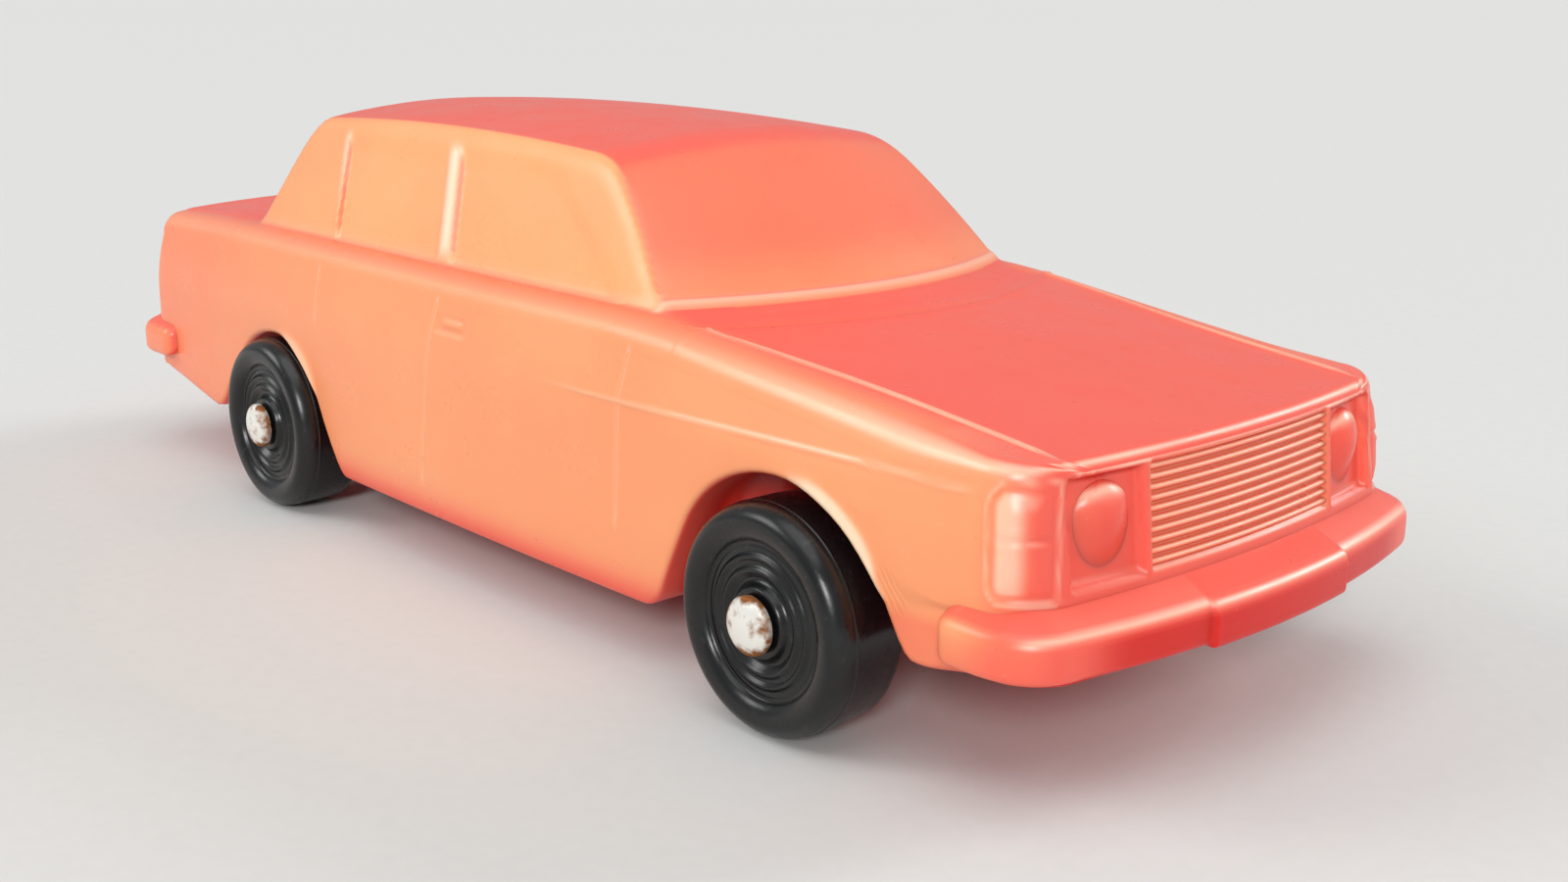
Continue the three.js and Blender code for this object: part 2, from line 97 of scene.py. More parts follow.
# The side's plan and the shoulder. A pair such as NOSE_TUCK_RUN is where a change starts and ends.
NOSE_TAPER, TAIL_TAPER = 3.15, 2.4
BELT_TUCK, NOSE_TUCK_LOSS, NOSE_TUCK_RUN = 1.4, 0.5, (60, 90)
SHOULDER_R, NOSE_ROUND_LOSS, NOSE_ROUND_RUN = 3.4, 0.55, (76, 91)
DECK_Z, BONNET_FALL, BONNET_FALL_X = 39.1, 0.118, 38.8
TAIL_DROOP, DROOP_X, DROOP_LENGTH = 1.4, 14.0, 108.0


def side_half(x):
    """Half width at the waist: the full width less a square-law taper to the nose or the tail."""
    nose = NOSE_TAPER * (np.clip(x - MIDDLE_X, 0, None) / (NOSE_X - MIDDLE_X)) ** 2
    tail = TAIL_TAPER * (np.clip(MIDDLE_X - x, 0, None) / (MIDDLE_X - TAIL_X)) ** 2
    return SIDE_HALF - nose - tail


def belt_tuck(x):
    """How far the shoulder stands in from the waist, half as far at the nose."""
    return BELT_TUCK * (1 - NOSE_TUCK_LOSS * ease(*NOSE_TUCK_RUN, x))


def shoulder_round(x):
    """Radius of the shoulder, which sharpens towards the nose."""
    return SHOULDER_R * (1 - NOSE_ROUND_LOSS * ease(*NOSE_ROUND_RUN, x))


def deck_edge(x):
    """Height of the deck's edge: level past the doors, falling straight to the nose, and to the tail
    with the fifth power of the way there."""
    fall = soft_max(BONNET_FALL * (x - BONNET_FALL_X), 0.0, 1.0)
    droop = TAIL_DROOP * (np.clip(DROOP_X - x, 0, None) / DROOP_LENGTH) ** 5
    return DECK_Z - fall - droop


# The lower edge and the wheel arches. Each arch is given by its middle's x, its rise over the axle, and
# the half width and the straight foot's start, as a share of it, of its back and of its front.
FRONT_FOOT_Z, NOSE_SKIRT_Z, REAR_FOOT_Z, TAIL_SKIRT_Z = 11.9, 12.9, 9.0, 14.0
FRONT_STEP, SKIRT_STEP, REAR_STEP = (66, 76), (80, 85), (-50, -58)
REAR_RISE_X, REAR_RISE_LENGTH, REAR_RISE_POWER = -60.6, 29.4, 1.2
ARCHES = ((FRONT_AXLE_X - 1.0, 14.4, (15.1, 0.9), (15.1, 0.9)),
          (REAR_AXLE_X, 12.8, (15.0, 0.75), (12.9, 0.9)))
ARCH_FILLET = 2.2
LIP_HEIGHT, LIP_WIDTH, LIP_GROWTH, LIP_GROWTH_Z = 0.85, 0.4, 1.7, (16, 24)
LIP_START_Z, LIP_START_AHEAD = (14.5, 18), (0, 8)


def foot_line(x):
    """Height of the body's lower edge with no arches in it: the sill, which steps under the front wheel to
    a foot and on to the nose's skirt, and under the rear wheel to a foot that rises to the tail's skirt."""
    along = np.clip((REAR_RISE_X - x) / REAR_RISE_LENGTH, 0, 1)
    rear = REAR_FOOT_Z + (TAIL_SKIRT_Z - REAR_FOOT_Z) * along ** REAR_RISE_POWER
    front = FRONT_FOOT_Z + (NOSE_SKIRT_Z - FRONT_FOOT_Z) * ease(*SKIRT_STEP, x)
    return SILL_Z + (front - SILL_Z) * ease(*FRONT_STEP, x) + (rear - SILL_Z) * ease(*REAR_STEP, x)


def low_edge(x):
    """Height of the body side's lower edge: the foot line, rounded into the two wheel arches.
    Each side of an arch is a quarter of an ellipse, which runs out straight along its tangent where
    its foot starts."""
    edge = foot_line(x)
    for middle, rise, back, front in ARCHES:
        half = np.where(x < middle, back[0], front[0])
        foot = np.where(x < middle, back[1], front[1])
        away = np.abs(x - middle) / half
        curved = np.minimum(away, foot)
        slope = foot / np.sqrt(1 - foot ** 2)
        arch = AXLE_Z + rise * (np.sqrt(1 - curved ** 2) - slope * (away - curved))
        edge = soft_max(edge, arch, ARCH_FILLET)
    return edge


def arch_distance(x, z):
    """Distance outwards from the nearer wheel arch's edge, by its ellipses."""
    up = np.clip(z - AXLE_Z, 0, None)
    distances = []
    for middle, rise, back, front in ARCHES:
        half = np.where(x < middle, back[0], front[0])
        distances.append((np.hypot((x - middle) / half, up / rise) - 1) * (half + rise) / 2)
    return np.minimum(*distances)


def arch_lip(x, z):
    """The flared lip on the front side of each arch: 1 at the arch's edge, falling straight to 0 over
    a width that narrows downwards."""
    ahead = x - np.where(x > MIDDLE_X, ARCHES[0][0], ARCHES[1][0])
    width = LIP_WIDTH + LIP_GROWTH * ease(*LIP_GROWTH_Z, z)
    lip = soft_max(1 - arch_distance(x, z) / width, 0.0, 0.2)
    return lip * ease(*LIP_START_Z, z) * ease(*LIP_START_AHEAD, ahead)


# The doors, the creases and the handle. Each door line is given by its x under the shoulder, its slant,
# its foot's height, and how far along the side the grid leans with it; a box by its ranges in x and z.
DOORS = (37.4, 0.07, 15.0, 6.0), (-1.0, 0.17, 11.0, 24.0), (-32.2, 0.0, 28.0, 6.0)
DOOR_TOP, DOOR_TOP_RAMP, DOOR_FOOT_RAMP, DOOR_WIDTH, DOOR_DEPTH = 36.2, 0.4, 2.0, 0.65, 0.26
CREASE_Z, CREASE_DROP, CREASE_WIDTH, CREASE_HEIGHT = 30.6, 0.4, 0.9, 0.15
CREASE_START, CREASE_END = (20, 34), (84, 87)
SKIRT_CREASE_Z, SKIRT_RAMP, SKIRT_RUN, SKIRT_DEPTH = 19.0, 0.4, (74.5, 76.5), 0.35
HANDLE_SCOOP, SCOOP_RAMP, SCOOP_DEPTH = ((-0.8, 6.0), (32.2, 34.3)), 1.0, 0.30
HANDLE_BAR, HANDLE_RAMP, HANDLE_HEIGHT = ((0.6, 5.2), (33.0, 33.9)), 0.8, 0.36
SILL_TUCK, SILL_TUCK_Z, LEAN_HEIGHT = 0.7, 17.0, 5.0
DOOR_SOFTNESS, BONNET_SOFTNESS, SOFTNESS_RUN = 4.0, 0.6, (10, 34)


def door_shear(x):
    """How far the grid's lines lean for each millimetre down from the shoulder, to follow the door lines."""
    return sum(slant * (1 - ease(reach / 4, reach, np.abs(x - place))) for place, slant, _, reach in DOORS)


def door_lines(x, z, width):
    """The door lines: 1 on each line, gone half a width to either side, at its foot and at the shoulder."""
    lines = sum(ridge(x - place - slant * (z - DOOR_TOP), width) * ease(foot, foot + DOOR_FOOT_RAMP, z)
                for place, slant, foot, _ in DOORS)
    return lines * (1 - ease(DOOR_TOP - DOOR_TOP_RAMP, DOOR_TOP + DOOR_TOP_RAMP, z))


def side_crease(x, z, width):
    """The side's long crease: 1 on its line, which fades in along the front door and ends at the nose."""
    return ridge(z - CREASE_Z + CREASE_DROP, width) * ease(*CREASE_START, x) * (1 - ease(*CREASE_END, x))


def side_relief(x, z):
    """Relief of the body side: arch lips, door lines, two creases and the door handle in its scoop."""
    relief = LIP_HEIGHT * arch_lip(x, z) - DOOR_DEPTH * door_lines(x, z, DOOR_WIDTH)
    relief = relief + CREASE_HEIGHT * side_crease(x, z, CREASE_WIDTH)
    skirt = (1 - ease(SKIRT_CREASE_Z - SKIRT_RAMP, SKIRT_CREASE_Z, z)) * ease(*SKIRT_RUN, x)
    scoop = inside_box(x, z, *HANDLE_SCOOP, SCOOP_RAMP)
    handle = inside_box(x, z, *HANDLE_BAR, HANDLE_RAMP)
    return relief - SKIRT_DEPTH * skirt - SCOOP_DEPTH * scoop + HANDLE_HEIGHT * handle


def side_y(x, z, shoulder_z):
    """Half width at x and z: the plan, leaning in from the crease to the shoulder, tucked in at the sill.
    The crease is crisp along the bonnet and soft along the doors."""
    start = np.minimum(CREASE_Z, shoulder_z - LEAN_HEIGHT)
    softness = DOOR_SOFTNESS + (BONNET_SOFTNESS - DOOR_SOFTNESS) * ease(*SOFTNESS_RUN, x)
    lean = belt_tuck(x) * soft_max(z - start, 0.0, softness) / (shoulder_z - start)
    sill = SILL_TUCK * np.clip((SILL_TUCK_Z - z) / (SILL_TUCK_Z - SILL_Z), 0, 1) ** 2
    return side_half(x) - lean - sill


# The corner lamps. Across a lamp s = x - |y| runs round the nose's corner, and its scale makes it a length.
CORNER_LAMP_S, CORNER_LAMP_SCALE, CORNER_LAMP_HALF = 61.3, 0.85, 4.2
CORNER_LAMP_Z, CORNER_LAMP_RISE = 26.1, 5.8
LAMP_TOP_R, LAMP_FOOT_R, LAMP_FRONT_R = 2.8, 2.0, 0.5
RIM_INSET, RIM_HEIGHT, GROOVE_INSET, GROOVE_DEPTH, RIM_WIDTH = 0.25, 0.18, 0.85, 0.2, 0.8
LENS_EDGE, LENS_RUN, LENS_HEIGHT = 0.9, 2.3, 0.34
SPLIT_Z, SPLIT_WIDTH, SPLIT_DEPTH = 26.6, 0.8, 0.2
SPLIT_BEAD, SPLIT_BEAD_WIDTH, SPLIT_BEAD_HEIGHT = 0.65, 0.7, 0.1


def corner_lamp_inset(s, z):
    """Distance in from a corner lamp's outline, a box with round corners."""
    u = np.abs(CORNER_LAMP_SCALE * (s - CORNER_LAMP_S)) - CORNER_LAMP_HALF
    v = np.abs(z - CORNER_LAMP_Z) - CORNER_LAMP_RISE
    rear_r = np.where(z > CORNER_LAMP_Z, LAMP_TOP_R, LAMP_FOOT_R)
    radius = np.where(s < CORNER_LAMP_S, rear_r, LAMP_FRONT_R)
    outside = np.hypot(np.clip(u + radius, 0, None), np.clip(v + radius, 0, None))
    return radius - outside - np.minimum(np.maximum(u, v) + radius, 0)


def corner_lamp_relief(x, y, z):
    """The corner lamp: a thin rim bead, a groove inside it and a convex lens, split by a groove that has
    a bead on either side."""
    inset = corner_lamp_inset(x - np.abs(y), z)
    rim = RIM_HEIGHT * ridge(inset - RIM_INSET, RIM_WIDTH)
    groove = GROOVE_DEPTH * ridge(inset - GROOVE_INSET, RIM_WIDTH)
    lens = LENS_HEIGHT * ease(LENS_EDGE, LENS_EDGE + LENS_RUN, inset)
    beads = ridge(np.abs(z - SPLIT_Z) - SPLIT_BEAD, SPLIT_BEAD_WIDTH)
    split = SPLIT_BEAD_HEIGHT * beads - SPLIT_DEPTH * ridge(z - SPLIT_Z, SPLIT_WIDTH)
    return rim - groove + lens + split * ease(LENS_EDGE, LENS_EDGE + 0.5, inset)


# The cabin and the deck. A screen is given by its foot's x and z in the middle, its bow, which is a depth
# over the square of the half width where it is reached, and its rake, which is length over height.
SCREEN_X, SCREEN_Z, SCREEN_BOW, SCREEN_RAKE = 44.0, 40.3, 7.4 / 27.7 ** 2, 1.28
SCREEN_LENGTH, SCREEN_BULGE = 22.0, 4.0
BACK_X, BACK_Z, BACK_BOW, BACK_RAKE = -63.0, 39.4, 3.6 / 27.0 ** 2, 0.70
CABIN_Z, CABIN_LEAN, CABIN_HALF = 38.3, 0.372, 28.7
ROOF_PEAK_X, ROOF_SLOPE, ROOF_CROWN = -15.0, 1.2 / 36.0 ** 2, 2.0 / 21.5 ** 2
SCREEN_ROUND, BACK_ROUND, ROOF_ROUND, CABIN_FILLET = 2.6, 4.5, 2.8, 1.3
WINDOW_Z, WINDOW_TOP, WINDOW_DEPTH = 39.6, (51.8, 54.0), 0.3
WINDOW_FRONT, WINDOW_FRONT_SLANT, WINDOW_BACK = (30.6, 31.6), 1.46, (-0.4, 0.4)
PILLAR_X, PILLAR_SLANT, PILLAR_WIDTH, PILLAR_HEIGHT = -6.2, 0.30, 3.5, 0.4
PILLAR_EDGE, PILLAR_FOOT = (1.5, 2.2), (39.4, 41.0)
BACK_PILLAR_X, BACK_PILLAR_SLANT, BACK_PILLAR_SET = -34.6, 0.26, 0.9
BACK_PILLAR_WIDTH, BACK_PILLAR_HEIGHT = 2.4, 0.22
BEAD_SET, BEAD_WIDTH, BEAD_HEIGHT, BEAD_ENDS = 0.5, 1.7, 0.34, (26.6, 28.2)
BONNET_X, BONNET_BOW, BONNET_START, BONNET_END = 54.0, 9.8 / 29.8 ** 2, (42, 47), 92
BONNET_CREASE_Y, BONNET_CREASE_X, BONNET_CREASE_SLANT = 25.0, 70.0, 0.112
BONNET_CREASE_WIDTH, BONNET_CREASE_HEIGHT, BONNET_CREASE_END = 1.0, 0.34, 88
NOSE_CROWN, REAR_CROWN, CROWN_RUN = 0.5, 1.1, (50, 95)
COWL_SET, COWL_HALF, COWL_DEPTH, COWL_ENDS = 3.4, 3.6, 0.42, (25.5, 29.0)
LID_WIDTH, LID_HEIGHT, LID_ENDS = 1.1, 0.18, (28.5, 30.0)
BOOT_X, BOOT_BOW, BOOT_HALF, BOOT_CORNER = -88.5, 0.0025, 25.7, 0.3
SEAM_WIDTH, SEAM_DEPTH, SEAM_START, SEAM_END = 0.9, 0.16, (-88.6, -88.0), (-69, -66)


def past_pillars(x, z):
    """How far x lies ahead of the middle pillar's line and of the rear window's back edge, which both
    lean back with height."""
    up = z - WINDOW_Z
    return x - PILLAR_X + PILLAR_SLANT * up, x - BACK_PILLAR_X + BACK_PILLAR_SLANT * up


def window_relief(x, z):
    """Relief of the cabin's sides: two sunk windows, the rounded pillar between them and one behind."""
    pillar, back = past_pillars(x, z)
    ahead = x + WINDOW_FRONT_SLANT * (z - WINDOW_Z)
    front = ease(*PILLAR_EDGE, pillar) * (1 - ease(*WINDOW_FRONT, ahead))
    rear = ease(*PILLAR_EDGE, -pillar) * ease(*WINDOW_BACK, back)
    pillars = PILLAR_HEIGHT * ridge(pillar, PILLAR_WIDTH)
    pillars = pillars + BACK_PILLAR_HEIGHT * ridge(back + BACK_PILLAR_SET, BACK_PILLAR_WIDTH)
    return (1 - ease(*WINDOW_TOP, z)) * (pillars * ease(*PILLAR_FOOT, z) - WINDOW_DEPTH * (front + rear))


def bonnet_crease(x, y, width):
    """The bonnet's two creases: 1 on a line that runs straight in from the cowl and then along."""
    line = BONNET_CREASE_Y + soft_max(BONNET_CREASE_SLANT * (BONNET_CREASE_X - x), 0.0, 1.0)
    return ridge(np.abs(y) - line, width) * ease(*BONNET_START, x)


def deck_height(x, y):
    """Height of the deck: crowned across, with bonnet creases, a sunk cowl that ends in the bonnet's
    edge, and the boot lid's seam."""
    half = side_half(x) - belt_tuck(x) - shoulder_round(x)
    crown = REAR_CROWN + (NOSE_CROWN - REAR_CROWN) * ease(*CROWN_RUN, x)
    deck = deck_edge(x) + crown * (1 - (y / half) ** 2)
    crease = bonnet_crease(x, y, BONNET_CREASE_WIDTH) * (1 - ease(BONNET_CREASE_END, BONNET_END, x))
    deck = deck + BONNET_CREASE_HEIGHT * crease
    out = np.abs(y)
    past_bonnet = x - BONNET_X + BONNET_BOW * y ** 2
    cowl = ease(1.0, 0.0, np.abs(past_bonnet + COWL_SET) / COWL_HALF) * (1 - ease(*COWL_ENDS, out))
    lid = ridge(past_bonnet, LID_WIDTH) * (1 - ease(*LID_ENDS, out))
    seam = ridge(x - BOOT_X - BOOT_BOW * y ** 2, SEAM_WIDTH)
    seam = seam * (1 - ease(BOOT_HALF - BOOT_CORNER, BOOT_HALF + BOOT_CORNER, out))
    seam = seam + ridge(out - BOOT_HALF, SEAM_WIDTH) * ease(*SEAM_START, x) * (1 - ease(*SEAM_END, x))
    return deck - COWL_DEPTH * cowl + LID_HEIGHT * lid - SEAM_DEPTH * seam


def cabin_height(x, y):
    """Height of the cabin: the lowest of its roof, its leaning sides and its two bowed screens, rounded
    together. The front screen also bulges a little between its foot and its head."""
    half = side_half(x) - belt_tuck(x) - SHOULDER_R
    wide = half / (SIDE_HALF - BELT_TUCK - SHOULDER_R)
    side = CABIN_Z + (CABIN_HALF * wide - np.abs(y)) / CABIN_LEAN
    side = side + window_relief(x, side) / CABIN_LEAN
    along = SCREEN_X - SCREEN_BOW * y ** 2 - x
    bulge = np.clip(along / SCREEN_LENGTH, 0, 1) * np.clip(1 - along / SCREEN_LENGTH, 0, 1)
    screen = SCREEN_Z + along / SCREEN_RAKE + SCREEN_BULGE * bulge
    back = BACK_Z + (x - BACK_X - BACK_BOW * y ** 2) / BACK_RAKE
    roof = ROOF_Z - ROOF_CROWN * y ** 2 - ROOF_SLOPE * (x - ROOF_PEAK_X) ** 2
    cabin = soft_min(soft_min(roof, screen, SCREEN_ROUND), back, BACK_ROUND)
    return soft_min(cabin, side, ROOF_ROUND)


def screen_bead(x, y, width):
    """The bead along the front screen's foot: 1 on its bowed line."""
    return ridge(x - SCREEN_X + SCREEN_BOW * y ** 2 - BEAD_SET, width)


def top_height(x, y):
    """Height of the upper surface: the deck or, where it is higher, the cabin, joined by a small fillet,
    and the bead along the front screen's foot."""
    bead = BEAD_HEIGHT * screen_bead(x, y, BEAD_WIDTH) * (1 - ease(*BEAD_ENDS, np.abs(y)))
    return soft_max(deck_height(x, y), cabin_height(x, y), CABIN_FILLET) + bead


# The nose and the tail: for each the lip's and the corner's radius, the lean, the top and the bow, and
# boxes by their ranges in y, from below 0 where they span the middle, and z.
NOSE_LIP, NOSE_CORNER, NOSE_LEAN, NOSE_TOP, NOSE_BOW = 1.1, 4.6, 0.1, 33.2, 3.2 / 30.75 ** 2
TAIL_LIP, TAIL_CORNER, TAIL_LEAN, TAIL_TOP, TAIL_BOW = 2.2, 5.0, 0.05, 36.0, 1.6 / 31.5 ** 2
GRILLE_BOX, GRILLE_DEPTH = ((-1, 15.0), (21.5, 31.6)), 0.6
LAMP_BOX, LAMP_BOX_DEPTH = ((15.9, 25.2), (21.4, 31.5)), 0.95
NOSE_FRAME, NOSE_FRAME_HEIGHT, NOSE_RAMP = ((-1, 25.6), (20.9, 32.0)), 0.2, 0.4
NOSE_BASE_Z, NOSE_BASE_WIDTH, NOSE_BASE_HEIGHT = 20.5, 0.8, 0.3
TAIL_LAMP, TAIL_LAMP_HEIGHT, TAIL_RAMP = ((18.2, 25.6), (22.5, 32.0)), 0.45, 0.6
TAIL_SPLIT_Z, TAIL_SPLIT_WIDTH, TAIL_SPLIT_DEPTH = 27.3, 0.8, 0.3
TAIL_PANEL, TAIL_PANEL_DEPTH = ((-1, 16.4), (22.6, 32.0)), 0.35


def nose_face(y, z):
    """x of the nose's face, which leans forward at its foot and bows back from the middle."""
    return NOSE_X + NOSE_LEAN * (NOSE_TOP - z) - NOSE_BOW * y ** 2


def tail_face(y, z):
    """x of the tail's face, slightly bowed and leaning out to its foot."""
    return TAIL_X - TAIL_LEAN * (TAIL_TOP - z) + TAIL_BOW * y ** 2


def nose_relief(y, z):
    """Relief of the nose: a sunk grille and two sunk lamp boxes in thin frames, over a low bead."""
    y = np.abs(y)
    grille = inside_box(y, z, *GRILLE_BOX, NOSE_RAMP)
    box = inside_box(y, z, *LAMP_BOX, NOSE_RAMP)
    edging = inside_box(y, z, *NOSE_FRAME, NOSE_RAMP) * (1 - np.maximum(grille, box))
    base = NOSE_BASE_HEIGHT * ridge(z - NOSE_BASE_Z, NOSE_BASE_WIDTH)
    return NOSE_FRAME_HEIGHT * edging + base - GRILLE_DEPTH * grille - LAMP_BOX_DEPTH * box


def tail_relief(y, z):
    """Relief of the tail: upright lamps near the corners, each split in two, and a sunk middle panel."""
    y = np.abs(y)
    lamp = inside_box(y, z, *TAIL_LAMP, TAIL_RAMP)
    split = ridge(z - TAIL_SPLIT_Z, TAIL_SPLIT_WIDTH) * lamp
    panel = inside_box(y, z, *TAIL_PANEL, TAIL_RAMP)
    return TAIL_LAMP_HEIGHT * lamp - TAIL_SPLIT_DEPTH * split - TAIL_PANEL_DEPTH * panel


# The grid of sections that carries all of these shapes: its ends, where it starts to draw in for the
# corners, the housings and floor on which it closes below, and where its rows break on the side.
FIRST, LAST = TAIL_X + TAIL_LIP, NOSE_X - NOSE_LIP
EDGE_Y = SIDE_HALF - BELT_TUCK - SHOULDER_R
STRAIGHT_RUN, NOSE_DRAW_X, TAIL_DRAW_X, NOSE_LEAN_X, TAIL_LEAN_X = (-22, 0), 72, -70, 86, -84
EDGE_R, HOUSING_Y, FLOOR_Y, LEAST_STEP = 0.75, 26.3, 24.0, 1.0
BREAK_UNDER_CREASE, BREAK_UNDER_SHOULDER, BREAK_RUN = 1.3, 1.5, (72, 82)


def bowed(station):
    """How much a section bows back with the square of y, following the ends and the screens. Its station
    is the x where it crosses the middle."""
    places = FIRST, BACK_X, *STRAIGHT_RUN, SCREEN_X, BONNET_X, LAST
    return np.interp(station, places, (-TAIL_BOW, -BACK_BOW, 0, 0, SCREEN_BOW, BONNET_BOW, NOSE_BOW))


def corner_draw(station):
    """How far a section's side lags behind its top near an end, where the corner is rounder than the lip."""
    nose = (NOSE_CORNER - NOSE_LIP) * ease(NOSE_DRAW_X, LAST, station)
    tail = (TAIL_CORNER - TAIL_LIP) * ease(TAIL_DRAW_X, FIRST, station)
    return nose - tail


def side_of(station):
    """Where along the side the section of a station lies."""
    return station - bowed(station) * EDGE_Y ** 2 - corner_draw(station)


def spread(*runs):
    """Grid lines from runs of (start, end, spacing)."""
    return np.concatenate([np.linspace(start, end, int(round((end - start) / spacing)) + 1)
                           for start, end, spacing in runs])


def thinned(lines, gap):
    """Grid lines in order, without those that follow another by less than a gap."""
    lines = np.unique(lines)
    return lines[np.concatenate([[True], np.diff(lines) > gap])]


def section_stations():
    """The sections' stations, close together where the arches, doors, handle, pillars, boot seam, screen
    and bonnet edge need it. Places on the side are carried in to the middle."""
    arch_lines = []
    for middle, _, *sides in ARCHES:
        for way, (half, foot) in zip((-1, 1), sides):
            curved = np.sin(np.linspace(0, np.arcsin(foot), 11))
            straight = np.linspace(foot + 0.05, 1.5, 11)
            arch_lines.append(middle + way * half * np.concatenate([curved, straight]))
    door_places = [place + spread((-0.6, 0.6, 0.15)) for place, *_ in DOORS]
    # On the side: the rear quarter, the rear pillar, the rear door, the middle pillar, the handle, the
    # front door and the crease's end. On the top: the boot's seam, the screen's head and foot, and the cowl.
    side_lines = spread((-88, -69, 2.4), (-39.6, -33.6, 0.5), (-24, -15, 1.8), (-13, -4, 0.4),
                        (-0.8, 6.2, 0.5), (6.2, 36.5, 1.2), (82, 87, 0.7))
    top_lines = spread((-89.4, -87.6, 0.3), (18, 26, 1.0), (42.8, 45.6, 0.4), (50, 54.8, 0.45))
    steps = np.linspace(FIRST, LAST, 4000)
    on_side = np.interp(np.concatenate([side_lines, *arch_lines, *door_places]), side_of(steps), steps)
    lines = thinned(np.concatenate([on_side, top_lines, [FIRST, LAST]]), 0.1)
    lines[-1] = LAST
    return lines


def body_half():
    """One half of the tub and cabin as a grid: sections carried from tail to nose.
    A section runs from the roof's middle out to the shoulder, down the side to the lower edge,
    round that edge, in to the housing's wall and along the floor to the middle. At each end
    the sections draw in round the corner by a quarter turn, with a radius that changes along
    the section from the lip's to the corner's."""
    stations = section_stations()
    nose_turn, tail_turn = np.linspace(0, np.pi / 2, 23)[1:], np.linspace(np.pi / 2, 0, 12)[:-1]
    tail_end, nose_end = np.full(len(tail_turn), FIRST), np.full(len(nose_turn), LAST)
    station = np.concatenate([tail_end, stations, nose_end])[:, None]
    tail_in = np.concatenate([tail_turn, np.zeros(len(stations) + len(nose_turn))])[:, None]
    nose_in = np.concatenate([np.zeros(len(tail_turn) + len(stations)), nose_turn])[:, None]
    # Shares of the way across, close together at the frames beside the grille and up the cabin's sides.
    across = np.concatenate([np.linspace(0, 0.53, 6), np.linspace(0.55, 0.63, 12), np.linspace(0.65, 0.71, 3),
                             np.linspace(0.72, 0.955, 40), np.linspace(0.97, 1, 3)])[None]
    over = np.linspace(0, np.pi / 2, 6)[None, 1:]
    upper = np.linspace(1, 0, 32)[None, 1:]
    lower = 1 - np.linspace(0, 1, 27)[None, 1:] ** 0.85
    edge = np.linspace(0, np.pi / 2, 5)[None, 1:]
    side_x = side_of(station)

    def drawn_in(nose_radius, tail_radius):
        """How far the quarter turns at the ends draw a section in."""
        return nose_radius * (1 - np.cos(nose_in)) + tail_radius * (1 - np.cos(tail_in))

    def end_shift(z, share):
        """How far x moves for the lean of each end and the quarter turns, for a share of the corner."""
        nose_lean = ease(NOSE_LEAN_X, LAST, station) * NOSE_LEAN * (NOSE_TOP - z)
        tail_lean = ease(TAIL_LEAN_X, FIRST, station) * TAIL_LEAN * (TAIL_TOP - z)
        nose_radius = NOSE_LIP + (NOSE_CORNER - NOSE_LIP) * share
        tail_radius = TAIL_LIP + (TAIL_CORNER - TAIL_LIP) * share
        return nose_lean - tail_lean + nose_radius * np.sin(nose_in) - tail_radius * np.sin(tail_in)

    def side_shift(y, z):
        """The end shift on the side, which also carries the section on to the end face's own bow."""
        bow = NOSE_BOW * np.sin(nose_in) ** 2 - TAIL_BOW * np.sin(tail_in) ** 2
        return end_shift(z, 1.0) + bow * (EDGE_Y ** 2 - y ** 2)

    # The top, from the middle out to the shoulder.
    belt = side_half(side_x) - belt_tuck(side_x)
    round_r = shoulder_round(side_x)
    half = belt - round_r
    top_in = drawn_in(NOSE_CORNER - NOSE_LIP, TAIL_CORNER - TAIL_LIP)
    cornering = ease(0.9, 1.0, across)
    y_top = across * (half - top_in)
    x_top = station - bowed(station) * y_top ** 2 - corner_draw(station) * cornering
    z_top = top_height(x_top, across * half) - drawn_in(NOSE_LIP, TAIL_LIP)
    x_top = x_top + end_shift(z_top, cornering)

    # The shoulder, a quarter turn.
    shoulder_z = z_top[:, -1:] - round_r
    y_in = drawn_in(NOSE_CORNER, TAIL_CORNER)
    y_over = y_top[:, -1:] + (belt - y_in - y_top[:, -1:]) * np.sin(over)
    z_over = shoulder_z + round_r * np.cos(over)
    x_over = side_x + side_shift(y_over, z_over)

    # The side and its relief, down to where the lower edge's rounding starts.
    nudge = 0.02
    slope = (low_edge(side_x + nudge) - low_edge(side_x - nudge)) / (2 * nudge)
    normal_x, normal_z = slope / np.hypot(1, slope), -1 / np.hypot(1, slope)
    edge_z = low_edge(side_x)
    door_break = CREASE_Z - BREAK_UNDER_CREASE
    break_z = door_break + (SKIRT_CREASE_Z - door_break) * ease(*BREAK_RUN, side_x)
    break_z = np.minimum(break_z, shoulder_z - BREAK_UNDER_SHOULDER)
    start_x, start_z = side_x - EDGE_R * normal_x, edge_z - EDGE_R * normal_z
    z_side = np.concatenate([break_z + (shoulder_z - break_z) * upper,
                             start_z + (break_z - start_z) * lower], 1)
    x_side = np.concatenate([side_x + 0 * upper, start_x + (side_x - start_x) * lower], 1)
    x_side = x_side + door_shear(side_x) * np.minimum(z_side - DOOR_TOP, 0)
    y_side = side_y(x_side, z_side, shoulder_z) - y_in
    y_side = y_side + side_relief(x_side, z_side) * np.cos(np.maximum(nose_in, tail_in))
    x_side = x_side + side_shift(y_side, z_side)
    lens = corner_lamp_relief(x_side, y_side, z_side)
    y_side, x_side = y_side + lens * np.cos(nose_in), x_side + lens * np.sin(nose_in)

    # The lower edge, a quarter turn square to its own slope.
    foot_shear = door_shear(side_x) * np.minimum(edge_z - DOOR_TOP, 0)
    z_edge = edge_z - EDGE_R * normal_z * (1 - np.sin(edge))
    y_edge = y_side[:, -1:] - EDGE_R * (1 - np.cos(edge))
    x_edge = side_x + foot_shear - EDGE_R * normal_x * (1 - np.sin(edge)) + side_shift(y_edge, z_edge)

